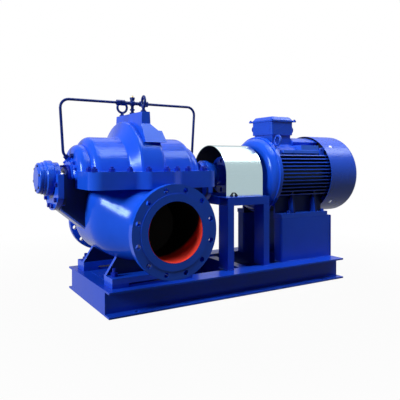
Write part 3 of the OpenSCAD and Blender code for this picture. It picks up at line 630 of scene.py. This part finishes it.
def join(pieces: Sequence[Object]) -> Object:
    """Join pieces into one object at the origin.

    Args:
        pieces: The pieces, each with its own mesh.

    Returns:
        The joined object.
    """
    clear()
    for piece in pieces:
        piece.select_set(True)
    bpy.context.view_layer.objects.active = pieces[0]
    bpy.ops.object.transform_apply()
    if len(pieces) > 1:
        bpy.ops.object.join()
    return bpy.context.object


def stack(prisms: Iterable[tuple[int, float, float, float, float]]) -> Object:
    """Join prisms on one axis, each given by sides, radius, foot, top and chamfer."""
    return join([prism(*sizes) for sizes in prisms])


def spread(template: Object, seats: Iterable[Seat]) -> Object:
    """Copy a piece to each of its seats and join the copies.

    Args:
        template: The piece, modelled at the origin along +Z; it is used up.
        seats: Where the copies go.

    Returns:
        All the copies as one object.
    """
    copies = []
    for seat in seats:
        copy = template.copy()
        copy.data = template.data.copy()
        bpy.context.scene.collection.objects.link(copy)
        copy.matrix_world = seat.matrix()
        copies.append(copy)
    bpy.data.objects.remove(template)
    return join(copies)


@dataclass(frozen=True)
class Dressing:
    """How a piece is finished: its paint, its slot, its body and how far the edges of a node are broken."""

    finish: Finish
    slot: Slot
    body: Body = Body.FIXED
    edge_mm: float = 1.0
    crease_deg: float = 34.0

    def hand_over(self, piece: Object, name: str) -> None:
        """Name, smooth and paint a finished piece and let it ride on its body.

        Args:
            piece: The piece.
            name: Its name.
        """
        piece.name = name
        settle(piece, self.crease_deg)
        piece.data.materials.clear()
        piece.data.materials.append(self.finish.material())
        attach(piece, self.body.value)
        LOG.info("%s: %d faces", name, len(piece.data.polygons))

    def fit(self, template: Object, seats: Iterable[Seat], name: str) -> None:
        """Copy a piece to its seats and hand the copies over as one."""
        self.hand_over(spread(template, seats), name)

    def dress(self, node: str, frame: dict) -> Object:
        """Stand a merged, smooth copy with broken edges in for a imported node.

        Args:
            node: The node's name.

        Returns:
            The finished copy.
        """
        source = frame["nodes"][node]
        copy = bpy.data.objects.new(f"{node}_finished", source.data.copy())
        bpy.context.scene.collection.objects.link(copy)
        take(copy)
        bpy.ops.mesh.customdata_custom_splitnormals_clear()
        edit_all(copy)
        bpy.ops.mesh.remove_doubles(threshold=MERGE_MM * MM)
        bpy.ops.mesh.dissolve_limited(angle_limit=math.radians(0.5))
        leave()
        if self.edge_mm:
            bevel(copy, self.edge_mm, crease_deg=self.crease_deg)
        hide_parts(node)
        self.hand_over(copy, copy.name)
        return copy


CASTING = Dressing(CASTING_ENAMEL, Slot.CASTING, edge_mm=2.4)
PIPEWORK = Dressing(PIPE_ENAMEL, Slot.CASTING, edge_mm=0.0)
STEELWORK = Dressing(FRAME_ENAMEL, Slot.FRAME)
MOTOR_WORK = Dressing(MOTOR_ENAMEL, Slot.MOTOR)
SHIELD_WORK = Dressing(CASTING_ENAMEL, Slot.MOTOR)
BOX_WORK = Dressing(LIT_BOX_ENAMEL, Slot.MOTOR)
FINNED = Dressing(FIN_ENAMEL, Slot.MOTOR)
SHEET = Dressing(GUARD_SHEET, Slot.GUARD, edge_mm=0.5)
TURNED = Dressing(SHAFT_STEEL, Slot.SHAFT, Body.ROTOR, edge_mm=0.8)
GLAND_WORK = Dressing(NUT_ENAMEL, Slot.IRON)
COUPLING_WORK = Dressing(CASTING_ENAMEL, Slot.CASTING, Body.ROTOR, edge_mm=1.2)
MOULDED = Dressing(FAN_NYLON, Slot.PLASTIC, Body.ROTOR, edge_mm=0.8)
NUTS = Dressing(NUT_ENAMEL, Slot.CASTING)
BLACKED = Dressing(BLACK_OXIDE, Slot.IRON)
BAFFLE_WORK = Dressing(BLACK_OXIDE, Slot.MOTOR)
PLATED = Dressing(ZINC_PLATE, Slot.SHAFT)
PLATED_ROTOR = Dressing(ZINC_PLATE, Slot.SHAFT, Body.ROTOR)


@dataclass(frozen=True)
class Fixing:
    """A bolt head or a nut on its stud: washer, chamfered hexagon and thread end, along +Z from its seat."""

    across: float
    height: float
    washer_r: float = 0.0
    washer_t: float = 0.0
    stud_r: float = 0.0
    stud_l: float = 0.0
    hex_chamfer: float = 0.09
    washer_chamfer: float = 0.3
    stud_chamfer: float = 0.22

    def model(self) -> Object:
        """Model it once at the origin.

        Returns:
            The fixing as one object.
        """
        seat, top = self.washer_t, self.washer_t + self.height
        shapes = [(6, self.across / math.sqrt(3.0), seat, top, self.hex_chamfer * self.across)]
        if self.washer_t:
            shapes.append((20, self.washer_r, 0.0, seat, self.washer_chamfer * seat))
        if self.stud_l:
            shapes.append((14, self.stud_r, top - 1.0, top + self.stud_l, self.stud_chamfer * self.stud_r))
        return stack(shapes)


FLANGE_NUT = Fixing(across=27.0, height=15.0, washer_r=17.0, washer_t=2.5, stud_r=8.0, stud_l=8.0)
FOOT_NUT = Fixing(across=34.0, height=17.0, washer_r=21.0, washer_t=4.0, stud_r=10.0, stud_l=21.0)
BEARING_BOLT = Fixing(across=21.0, height=11.0, washer_r=13.0, washer_t=2.0)
CAP_BOLT = Fixing(across=12.0, height=4.4)
GLAND_NUT = Fixing(across=14.0, height=10.0, stud_r=5.0, stud_l=16.0)
BOX_NUT = Fixing(across=18.0, height=10.0, washer_r=11.5, washer_t=2.0, stud_r=5.5, stud_l=5.0)
COUPLING_NUT = Fixing(across=17.0, height=9.0, stud_r=5.5, stud_l=4.0)
MOTOR_BOLT = Fixing(across=24.0, height=12.0, washer_r=15.0, washer_t=3.0)
LID_SCREW = Fixing(across=11.0, height=6.0)
SEAL_PLUG = Fixing(across=22.0, height=15.0, washer_r=13.0, washer_t=2.0)
PAN_SCREW = ((18, 12.0, 0.0, 1.6, 0.6), (18, 8.5, 1.0, 6.0, 3.2))
ENTRY_PLUG = ((32, 25.0, -0.5, 7.0, 3.0), (6, 14.0, 6.5, 9.0, 1.0))


@dataclass
class CasingTrim:
    """Fasteners, linings and painted shade on walls of the pump casing."""

    flange_top: float = 714.0
    row_y: float = 316.0
    bulge_y: float = 350.0
    row_x: tuple[float, ...] = (-336.0, -246.0, -150.0, 118.0, 184.0, 274.0)
    bulge_x: tuple[float, ...] = (-64.0, 40.0)
    end_x: float = 336.0
    end_y: float = 240.0
    nut_turn_deg: float = 17.0
    foot_x: float = 200.0
    foot_y: float = 226.0
    foot_top: float = 180.0
    bracket_x: float = 300.0
    bracket_y: float = 150.0
    bracket_top: float = 700.0
    web_y: float = 300.0
    web_top: float = 350.0
    wall_slope: float = 0.6
    suction_r: float = 148.0
    suction_l: float = 300.0
    discharge_r: float = 125.0
    discharge_l: float = 330.0
    skin: float = 2.0
    bore_steps: int = 6
    dome_r: float = 2.236
    dome_back: float = 2.0
    dome_shares: tuple[float, ...] = (0.85, 0.65, 0.4, 0.15)

    def flange_seats(self) -> list[Seat]:
        """Seats of the split flange nuts, the same on both sides of the shaft."""
        spots = [(x, self.row_y) for x in self.row_x] + [(x, self.bulge_y) for x in self.bulge_x]
        spots += [(side * self.end_x, self.end_y) for side in SIDES]
        return [
            Seat((PUMP_X + x, side * y, self.flange_top), turn_deg=self.nut_turn_deg * i)
            for side in SIDES
            for i, (x, y) in enumerate(spots)
        ]

    def foot_seats(self) -> list[Seat]:
        """Seats of the nuts that hold the feet down."""
        return [
            Seat((PUMP_X + sx * self.foot_x, sy * self.foot_y, self.foot_top), turn_deg=turn)
            for sx, sy, turn in ((-1, -1, -16.0), (-1, 1, -6.0), (1, -1, 6.0), (1, 1, 16.0))
        ]

    def paint_wall_shade(self, casing: Object) -> None:
        """Paint shade on the upright walls of the bearing brackets and of the webs over the feet.

        Args:
            casing: The dressed copy of the lower casing.
        """

        def under(centre: Vector, normal: Vector) -> bool:
            """Say whether a face is such a wall."""
            along, out = abs(centre.x / MM - PUMP_X), abs(centre.y / MM)
            high = centre.z / MM
            bracket = along > self.bracket_x and out < self.bracket_y and high < self.bracket_top
            web = out < self.web_y and self.foot_top < high < self.web_top
            return (bracket or web) and abs(normal.y) > self.wall_slope

        paint_part(casing, WALL_SHADE_ENAMEL, under)

    def lining(self, coat: BoreCoat, radius: float, length: float) -> Object:
        """Line a blind bore with its coat, dome and all.

        Args:
            coat: The coat, which knows the mouth and the way in.
            radius: The bore's radius.
            length: The bore's straight depth.

        Returns:
            The lining.
        """
        cup = disc(96, radius - self.skin, coat.mouth, (math.pi / 2, 0.0, 0.0))
        inward = coat.inward * MM
        step = length / self.bore_steps * inward
        for _ in range(self.bore_steps):
            bpy.ops.mesh.extrude_region_move(TRANSFORM_OT_translate={"value": (0.0, step, 0.0)})
        previous, rise = 1.0, 0.0
        for share in self.dome_shares:
            ball = math.sqrt((self.dome_r * radius) ** 2 - (share * radius) ** 2)
            lift = ball - self.dome_back * radius - 2.0 * self.skin
            push = (0.0, (lift - rise) * inward, 0.0)
            bpy.ops.mesh.extrude_region_move(TRANSFORM_OT_translate={"value": push})
            middle = Vector(coat.mouth) * MM + Vector((0.0, (length + lift) * inward, 0.0))
            shrink = share / previous
            bpy.ops.transform.resize(value=(shrink, 1.0, shrink), center_override=middle)
            previous, rise = share, lift
        mouth_y = coat.mouth[1] * MM
        pick(cup, "FACE", lambda face: abs(face.center.y - mouth_y) < 0.1 * MM)
        bpy.ops.mesh.delete(type="FACE")
        bpy.ops.mesh.select_all(action="SELECT")
        bpy.ops.mesh.normals_make_consistent(inside=True)
        leave()
        apply(cup, "SOLIDIFY", thickness=0.25 * self.skin * MM, offset=-1.0)
        return cup

    def build(self) -> None:
        """Build the nuts and the linings."""
        NUTS.fit(FLANGE_NUT.model(), self.flange_seats(), "split_flange_nuts")
        NUTS.fit(FOOT_NUT.model(), self.foot_seats(), "pump_foot_nuts")
        suction = self.lining(SUCTION_COAT, self.suction_r, self.suction_l)
        Dressing(SUCTION_COAT, Slot.CASTING).hand_over(suction, "suction_bore_lining")
        discharge = self.lining(DISCHARGE_COAT, self.discharge_r, self.discharge_l)
        Dressing(DISCHARGE_COAT, Slot.CASTING).hand_over(discharge, "discharge_bore_lining")


@dataclass
class BearingEnd:
    """Fasteners at one end of the pump: bearing flange, bearing cap, gland and stuffing box."""

    name: str
    side: int
    flange_x: float = 460.0
    flange_bolts: tuple[Pair, ...] = (
        (-116.0, -30.0), (-97.0, -108.0), (-32.0, -144.0), (32.0, -144.0), (97.0, -108.0), (116.0, -30.0)
    )
    cap_x: float = 534.0
    cap_r: float = 65.0
    cap_bolts: int = 6
    cap_start_deg: float = -15.0
    gland_x: float = 389.0
    gland_r: float = 62.5
    box_x: float = 359.0
    box_nuts: tuple[Pair, ...] = ((-76.0, 81.0), (-104.0, 50.0), (76.0, 81.0), (104.0, 50.0))
    plug: Pair = (-50.0, 117.0)

    def seat(self, x: float, y: float, z: float, turn_deg: float = 0.0) -> Seat:
        """Seat at a place measured from the shaft at the pump's middle, facing away from the pump."""
        foot = (PUMP_X + self.side * x, y, SHAFT_Z + z)
        return Seat(foot, (float(self.side), 0.0, 0.0), turn_deg)

    def build(self) -> None:
        """Build the fasteners of this end."""
        end = self.name
        bolts = [self.seat(self.flange_x, y, z, 13.0 * i) for i, (y, z) in enumerate(self.flange_bolts)]
        NUTS.fit(BEARING_BOLT.model(), bolts, f"bearing_flange_bolts_{end}")
        angles = [math.radians(self.cap_start_deg + 360.0 * i / self.cap_bolts) for i in range(self.cap_bolts)]
        ring = [self.seat(self.cap_x, self.cap_r * math.cos(a), self.cap_r * math.sin(a)) for a in angles]
        BLACKED.fit(CAP_BOLT.model(), ring, f"bearing_cap_bolts_{end}")
        pair = [self.seat(self.gland_x, 0.0, s * self.gland_r, 9.0) for s in SIDES]
        NUTS.fit(GLAND_NUT.model(), pair, f"gland_studs_{end}")
        box = [self.seat(self.box_x, y, z) for y, z in self.box_nuts]
        CASTING.fit(BOX_NUT.model(), box, f"stuffing_box_nuts_{end}")
        plug = [self.seat(self.box_x, *self.plug, 20.0)]
        PIPEWORK.fit(SEAL_PLUG.model(), plug, f"seal_water_plug_{end}")


@dataclass
class CouplingTrim:
    """Nuts of the drive pins in the pockets of both coupling halves."""

    middle_x: float = 120.0
    pocket_x: float = 26.0
    pin_r: float = 92.0
    pins: int = 8

    def build(self) -> None:
        """Build the nuts of both halves, which turn with the rotor."""
        angles = [2.0 * math.pi * i / self.pins for i in range(self.pins)]
        seats = []
        for side in SIDES:
            x = self.middle_x + side * self.pocket_x
            for a in angles:
                foot = (x, -self.pin_r * math.sin(a), SHAFT_Z + self.pin_r * math.cos(a))
                seats.append(Seat(foot, (float(side), 0.0, 0.0), math.degrees(a)))
        PLATED_ROTOR.fit(COUPLING_NUT.model(), seats, "coupling_pin_nuts")


@dataclass
class GuardTrim:
    """Trimmed sheet of the guard, and the bow handle of its catch, low on each side."""

    motor_end: float = 254.0
    middle_x: float = 34.0
    side_y: float = 189.0
    height: float = 560.0
    bow_r: float = 17.0
    rod_r: float = 3.2
    inside_slope: float = 0.7
    end_slope: float = 0.5

    def trim(self, sheet: Object) -> None:
        """Cut the sheet to length at the motor end and prime its inside.

        Args:
            sheet: The dressed copy of the guard.
        """
        edit_all(sheet)
        cut = (self.motor_end * MM, 0.0, 0.0)
        bpy.ops.mesh.bisect(plane_co=cut, plane_no=(1.0, 0.0, 0.0), use_fill=True, clear_outer=True)
        leave()
        settle(sheet, SHEET.crease_deg)
        axis_z = SHAFT_Z * MM

        def inside(centre: Vector, normal: Vector) -> bool:
            """Say whether a face looks at the shaft."""
            away = Vector((0.0, centre.y, max(centre.z - axis_z, 0.0)))
            return normal.dot(away.normalized()) < -self.inside_slope and abs(normal.x) < self.end_slope

        paint_part(sheet, GUARD_PRIMER, inside)

    def bow(self) -> Object:
        """Spin a round rod half a turn into a bow and give it two feet.

        Returns:
            The bow, standing along +Y with its back to -Z.
        """
        rod = disc(12, self.rod_r, (self.bow_r, 0.0, 0.0), (math.pi / 2, 0.0, 0.0))
        bpy.ops.mesh.spin(steps=16, angle=math.pi, center=(0.0, 0.0, 0.0), axis=(0.0, 0.0, -1.0))
        bpy.ops.mesh.select_all(action="SELECT")
        bpy.ops.mesh.normals_make_consistent(inside=False)
        leave()
        feet = []
        for side in SIDES:
            foot = prism(16, 2.2 * self.rod_r, -self.rod_r - 1.0, 1.4 * self.rod_r, 1.5)
            foot.location = (side * self.bow_r * MM, 0.0, 0.0)
            feet.append(foot)
        return join([rod, *feet])

    def build(self) -> None:
        """Build the bows on both sides of the guard."""
        reach = self.side_y + self.rod_r + 1.0
        seats = [Seat((self.middle_x, side * reach, self.height), (0.0, float(side), 0.0)) for side in SIDES]
        BLACKED.fit(self.bow(), seats, "guard_catch_bows")


@dataclass
class MotorTrim:
    """Bolts, screws, plugs, lug, crown, cowl baffle, painted shade on walls and pedestal ends of the motor."""

    foot_x: tuple[float, ...] = (455.0, 752.0)
    foot_y: float = 202.0
    foot_top: float = 433.0
    cowl_x: float = 850.0
    cowl_r: float = 264.0
    screw_sunk: float = 0.4
    lid_x: tuple[float, ...] = (395.0, 594.0)
    lid_y: float = 109.0
    lid_z: float = 1040.0
    lug: Point = (760.0, -192.0, 838.0)
    lug_r: float = 18.0
    lug_hole: float = 7.5
    lug_t: float = 11.0
    lug_foot: float = 31.0
    lug_flare: float = 1.25
    lug_edge: float = 1.2
    crown_x: Pair = (574.0, 797.0)
    crown_r: Pair = (205.0, 250.0)
    crown_deg: float = 29.0
    crown_edge: float = 7.0
    crown_corner_deg: float = 60.0
    baffle_x: float = 810.0
    baffle_r: Pair = (222.5, 260.0)
    baffle_t: float = 3.0
    wall_z: Pair = (434.0, 540.0)
    wall_slope: float = 0.3
    plate_low: Point = (799.0, 155.0, 131.0)
    plate_high: Point = (812.0, 231.0, 405.0)
    plate_edge: float = 2.0
    plugs: tuple[tuple[Point, Point], ...] = (
        ((428.0, 103.0, 985.0), (0.0, 1.0, 0.0)),
        ((586.0, -76.0, 976.0), (1.0, 0.0, 0.0)),
    )

    def paint_wall_shade(self, frame: Object) -> None:
        """Paint shade on the walls of the frame over its feet.

        Args:
            frame: The dressed copy of the motor frame.
        """
        low, high = self.wall_z

        def wall(centre: Vector, normal: Vector) -> bool:
            """Say whether a face is such a wall."""
            return low < centre.z / MM < high and abs(normal.y) > self.wall_slope > abs(normal.x)

        paint_part(frame, WALL_SHADE_ENAMEL, wall)

    def ear(self) -> Object:
        """Shape a round plate into a lug with a hole and a straight foot.

        Returns:
            The lug, standing along +Y with its plate across Z.
        """
        clear()
        bpy.ops.mesh.primitive_cylinder_add(vertices=28, radius=self.lug_r * MM, depth=self.lug_t * MM)
        plate = bpy.context.object
        pick(plate, "FACE", lambda face: abs(face.normal.z) > FACING)
        bpy.ops.mesh.inset(thickness=(self.lug_r - self.lug_hole) * MM)
        bpy.ops.mesh.bridge_edge_loops()
        low, outer = -0.3 * self.lug_r * MM, 0.9 * self.lug_r * MM
        pick(plate, "VERT", lambda point: point.co.y < low and math.hypot(*point.co.xy) > outer)
        foot = (0.0, -self.lug_foot * MM, 0.0)
        bpy.ops.transform.resize(value=(self.lug_flare, 0.0, 1.0), center_override=foot)
        leave()
        bevel(plate, self.lug_edge)
        return plate

    def crown(self) -> Object:
        """Spin the smooth saddle on top of the frame, between terminal box and cowl.

        Returns:
            The saddle in its place.
        """
        start, end = self.crown_x
        inner, outer = self.crown_r
        axis = (0.0, 0.0, SHAFT_Z * MM)
        clear()
        bpy.ops.mesh.primitive_plane_add(
            size=1.0,
            location=((start + end) / 2 * MM, 0.0, (SHAFT_Z + (inner + outer) / 2) * MM),
            rotation=(math.pi / 2, 0.0, 0.0),
        )
        saddle = bpy.context.object
        saddle.scale = ((end - start) * MM, (outer - inner) * MM, 1.0)
        bpy.ops.object.transform_apply()
        turn = Matrix.Rotation(math.radians(-self.crown_deg), 4, "X")
        saddle.data.transform(Matrix.Translation(axis) @ turn @ Matrix.Translation(-Vector(axis)))
        edit_all(saddle)
        arc = math.radians(2 * self.crown_deg)
        bpy.ops.mesh.spin(steps=20, angle=arc, center=axis, axis=(-1.0, 0.0, 0.0))
        bpy.ops.mesh.select_all(action="SELECT")
        bpy.ops.mesh.remove_doubles(threshold=MERGE_MM * MM)
        bpy.ops.mesh.normals_make_consistent(inside=False)
        leave()
        bevel(saddle, self.crown_edge, 4, self.crown_corner_deg)
        return saddle

    def baffle(self) -> Object:
        """Turn the sheet ring that closes the cowl round the rear shield.

        Returns:
            The ring in its place.
        """
        inner, outer = self.baffle_r
        ring = disc(72, outer, (self.baffle_x, 0.0, SHAFT_Z), (0.0, math.pi / 2, 0.0))
        bpy.ops.mesh.inset(thickness=(outer - inner) * MM)
        bpy.ops.mesh.delete(type="FACE")
        leave()
        apply(ring, "SOLIDIFY", thickness=self.baffle_t * MM, offset=0.0)
        return ring

    def build(self) -> None:
        """Build the motor's fasteners and fittings."""
        feet = [Seat((x, s * self.foot_y, self.foot_top), turn_deg=x) for x in self.foot_x for s in SIDES]
        MOTOR_WORK.fit(MOTOR_BOLT.model(), feet, "motor_foot_bolts")
        half = math.sqrt(0.5)
        skin = (self.cowl_r - self.screw_sunk) * half
        screws = [
            Seat((self.cowl_x, sy * skin, SHAFT_Z + sz * skin), (0.0, sy * half, sz * half))
            for sy in SIDES
            for sz in SIDES
        ]
        PLATED.fit(stack(PAN_SCREW), screws, "cowl_screws")
        corners = [Seat((x, s * self.lid_y, self.lid_z), turn_deg=8.0) for x in self.lid_x for s in SIDES]
        MOTOR_WORK.fit(LID_SCREW.model(), corners, "terminal_lid_screws")
        plugs = [Seat(*spot) for spot in self.plugs]
        MOTOR_WORK.fit(stack(ENTRY_PLUG), plugs, "cable_entry_plugs")
        ears = [Seat(self.lug, (0.0, -1.0, 0.0))]
        MOTOR_WORK.fit(self.ear(), ears, "motor_rear_lug")
        MOTOR_WORK.hand_over(self.crown(), "motor_crown")
        BAFFLE_WORK.hand_over(self.baffle(), "cowl_baffle")
        plates = slab_pair(self.plate_low, self.plate_high, self.plate_edge, 3)
        STEELWORK.hand_over(plates, "pedestal_end_plates")


@dataclass
class FrameWelds:
    """Bed plate, packing strips and weld beads of the base frame, guard posts and motor pedestals."""

    plate_low: Point = (-742.0, -214.0, 119.0)
    plate_high: Point = (-318.0, 214.0, 129.5)
    plate_edge: float = 1.5
    strip_low: Point = (-687.0, 170.0, 130.0)
    strip_high: Point = (-399.0, 277.0, 141.0)
    strip_edge: float = 1.0
    pitch: float = 6.0
    uneven: float = 0.6
    bead: Point = (5.5, 4.0, 4.0)
    frozen: Point = (0.9, 0.9, 0.55)
    seed: int = 7
    weld_z: float = 130.5
    lines: tuple[tuple[float, float, float, float], ...] = (
        (384, -231, 788, -231), (384, 231, 788, 231),
        (372, -220, 372, -167), (372, 167, 372, 220),
        (-46, -243, -5, -243), (221, -243, 262, -243),
        (-46, 243, -5, 243), (221, 243, 262, 243),
        (-48, -240, -48, -153), (-48, 153, -48, 240),
        (264, -240, 264, -153), (264, 153, 264, 240),
    )

    def scale_of_bead(self) -> Object:
        """Flatten a ball into one scale of a weld bead, steeper on the side that froze last.

        Returns:
            The scale, its line along +Z.
        """
        clear()
        bpy.ops.mesh.primitive_uv_sphere_add(segments=10, ring_count=6, radius=MM)
        scale = bpy.context.object
        pick(scale, "VERT", lambda point: point.co.z > 0.0)
        bpy.ops.transform.resize(value=self.frozen, center_override=(0.0, 0.0, 0.0))
        bpy.ops.mesh.select_all(action="SELECT")
        bpy.ops.transform.resize(value=self.bead, center_override=(0.0, 0.0, 0.0))
        leave()
        return scale

    def build(self) -> None:
        """Lay the plate and the strips and run all the beads, a little uneven as by hand."""
        bed = slab(self.plate_low, self.plate_high, self.plate_edge)
        STEELWORK.hand_over(bed, "pump_bed_plate")
        strips = slab_pair(self.strip_low, self.strip_high, self.strip_edge)
        STEELWORK.hand_over(strips, "foot_packing_strips")
        dice = random.Random(self.seed)
        seats = []
        for x0, y0, x1, y1 in self.lines:
            start = Vector((x0, y0, self.weld_z))
            run = Vector((x1, y1, self.weld_z)) - start
            count = max(2, round(run.length / self.pitch))
            for i in range(count + 1):
                shake = Vector([dice.uniform(-self.uneven, self.uneven) for _ in range(3)])
                spot = start + run * (i / count) + shake
                seats.append(Seat(tuple(spot), tuple(run.normalized()), dice.uniform(0.0, 360.0)))
        STEELWORK.fit(self.scale_of_bead(), seats, "frame_weld_beads")


@dataclass
class Studio:
    """A white room with soft light from above and from the left, and the camera of the picture."""

    eye: Point = (-1620.5, -2451.8, 763.8)
    yaw_deg: float = 30.2
    pitch_deg: float = 0.38
    lens_px: float = 465.6
    centre_px: Pair = (185.2, 164.7)
    image_px: float = 400.0
    sensor: float = 36.0
    floor_size: float = 24000.0
    floor_tone: str = "#3C3C3C"
    floor_white: float = 0.965
    shadow_r: Pair = (1040.0, 2600.0)
    ambient: float = 0.035
    mirrored: float = 0.62
    lamps: tuple[tuple[str, Point, Point, Pair, float], ...] = (
        ("left_lamp", (-7000, -600, 3300), (-200, 0, 500), (2000, 2000), 560),
        ("top_lamp", (-300, -800, 4000), (-100, 0, 500), (2200, 2200), 66),
        ("strip_lamp", (2900, -1200, 4000), (2900, -1199, 0), (5400, 1600), 190),
        ("sky_lamp", (2600, 2200, 4600), (2600, 2201, 0), (6000, 4800), 84),
    )

    def place_camera(self) -> None:
        """Set up the camera that took the picture."""
        data = bpy.data.cameras.new("picture_camera")
        data.sensor_width = self.sensor
        data.lens = self.lens_px / self.image_px * self.sensor
        data.shift_x = 0.5 - self.centre_px[0] / self.image_px
        data.shift_y = self.centre_px[1] / self.image_px - 0.5
        data.clip_end = 100.0
        camera = bpy.data.objects.new("picture_camera", data)
        camera.location = Vector(self.eye) * MM
        camera.rotation_euler = (math.radians(90 - self.pitch_deg), 0.0, -math.radians(self.yaw_deg))
        bpy.context.scene.collection.objects.link(camera)
        bpy.context.scene.camera = camera

    def white_seen(self, tree: NodeTree) -> NodeSocket:
        """Tell the rays that should see plain white.

        Args:
            tree: The node tree that gets the nodes.

        Returns:
            A socket that is one for camera and transmission rays, and lower for what is mirrored.
        """
        path = add_node(tree, "LightPath").outputs
        direct = maths(tree, "MAXIMUM", path["Is Camera Ray"], path["Is Transmission Ray"])
        mirror = maths(tree, "MULTIPLY", path["Is Glossy Ray"], self.mirrored)
        return maths(tree, "MAXIMUM", direct, mirror)

    def light_world(self) -> None:
        """Make the world white to look at and dim as a lamp."""
        world = bpy.data.worlds.new("white_room")
        bpy.context.scene.world = world
        world.use_nodes = True
        tree = world.node_tree
        tree.nodes.clear()
        dim = add_node(tree, "Background", {"Color": SKY, "Strength": self.ambient})
        white = add_node(tree, "Background", {"Color": WHITE, "Strength": 1.0})
        both = add_node(tree, "MixShader", {0: self.white_seen(tree), 1: dim.outputs[0], 2: white.outputs[0]})
        add_node(tree, "OutputWorld", {"Surface": both.outputs[0]})

    def lay_floor(self) -> None:
        """Lay a pale floor that keeps a soft shadow."""
        clear()
        bpy.ops.mesh.primitive_plane_add(size=self.floor_size * MM, location=(0.0, 0.0, 0.0))
        floor = bpy.context.object
        floor.name = "floor"
        material, tree, shader, point = new_material("pale_floor")
        matt = {"Base Color": linear(self.floor_tone), "Roughness": 1.0, "Specular IOR Level": 0.0}
        fill_inputs(tree, shader, matt)
        glow = add_node(tree, "Emission", {"Color": WHITE, "Strength": 1.0})
        away = vectors(tree, "LENGTH", point).outputs["Value"]
        clean = ramp(tree, away, [r * MM for r in self.shadow_r], (self.floor_white, 1.0))
        seen = maths(tree, "MULTIPLY", self.white_seen(tree), clean)
        both = add_node(tree, "MixShader", {0: seen, 1: shader.outputs[0], 2: glow.outputs[0]})
        output = next(n for n in tree.nodes if n.type == "OUTPUT_MATERIAL")
        tree.links.new(both.outputs[0], output.inputs["Surface"])
        floor.data.materials.append(material)

    def hang_lamp(self, name: str, place: Point, aim: Point, size: Pair, watts: float) -> None:
        """Hang one soft lamp.

        Args:
            name: The lamp's name.
            place: Where it hangs.
            aim: The point that it faces.
            size: Its two sides.
            watts: Its power.
        """
        data = bpy.data.lights.new(name, "AREA")
        data.shape = "RECTANGLE"
        data.size, data.size_y = size[0] * MM, size[1] * MM
        data.energy = watts
        lamp = bpy.data.objects.new(name, data)
        lamp.location = Vector(place) * MM
        lamp.rotation_euler = (Vector(aim) - Vector(place)).to_track_quat("-Z", "Y").to_euler()
        bpy.context.scene.collection.objects.link(lamp)

    def build(self) -> None:
        """Set up camera, world, floor and lamps."""
        bpy.context.scene.view_settings.view_transform = "Standard"
        self.place_camera()
        self.light_world()
        self.lay_floor()
        for lamp in self.lamps:
            self.hang_lamp(*lamp)


DRESSINGS: dict[Dressing, tuple[str, ...]] = {
    CASTING: (
        "lower_casing", "upper_casing", "bearing_housing_left", "bearing_housing_right",
        "bearing_cap_left", "bearing_cap_right",
    ),
    PIPEWORK: ("lifting_eyes", "vent_cross", "flush_pipe_left", "flush_pipe_right"),
    STEELWORK: (
        "base_front_rail", "base_back_rail", "base_left_end", "base_right_end", "base_cross_members",
        "pump_pads", "guard_posts", "guard_beams", "guard_end_beams", "motor_pedestal_front",
        "motor_pedestal_back",
    ),
    FINNED: ("motor_frame",),
    MOTOR_WORK: (
        "motor_rear_shield", "fan_cowl", "terminal_box", "terminal_box_cover", "motor_lifting_eye",
    ),
    SHIELD_WORK: ("motor_front_shield",),
    BOX_WORK: ("auxiliary_box",),
    SHEET: ("coupling_guard",),
    TURNED: ("pump_shaft", "motor_shaft"),
    GLAND_WORK: ("gland_left", "gland_right"),
    COUPLING_WORK: ("coupling_pump_half", "coupling_motor_half"),
    MOULDED: ("cooling_fan",),
}


@dataclass
class PumpSet:
    """The whole set: the dressed nodes and all the trim."""

    frame: dict
    cock_z: float = 1124.0

    def build(self) -> None:
        """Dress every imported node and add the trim."""
        finished = {n: dressing.dress(n, self.frame) for dressing, nodes in DRESSINGS.items() for n in nodes}
        # Painted shade on the low walls of the casing and of the motor frame.
        CasingTrim().paint_wall_shade(finished["lower_casing"])
        MotorTrim().paint_wall_shade(finished["motor_frame"])
        GuardTrim().trim(finished["coupling_guard"])
        cock = self.cock_z * MM
        paint_part(finished["vent_cross"], DULL_BRASS, lambda centre, normal: centre.z > cock)
        CasingTrim().build()
        BearingEnd("left", -1).build()
        BearingEnd("right", 1).build()
        CouplingTrim().build()
        GuardTrim().build()
        MotorTrim().build()
        FrameWelds().build()


def main() -> None:
    """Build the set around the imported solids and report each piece."""
    logging.basicConfig(level=logging.INFO, format="%(name)s %(message)s")
    bpy.ops.object.select_all(action="SELECT")
    bpy.ops.object.delete()
    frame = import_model()
    PumpSet(frame).build()
    Studio().build()


if __name__ == "__main__":
    main()
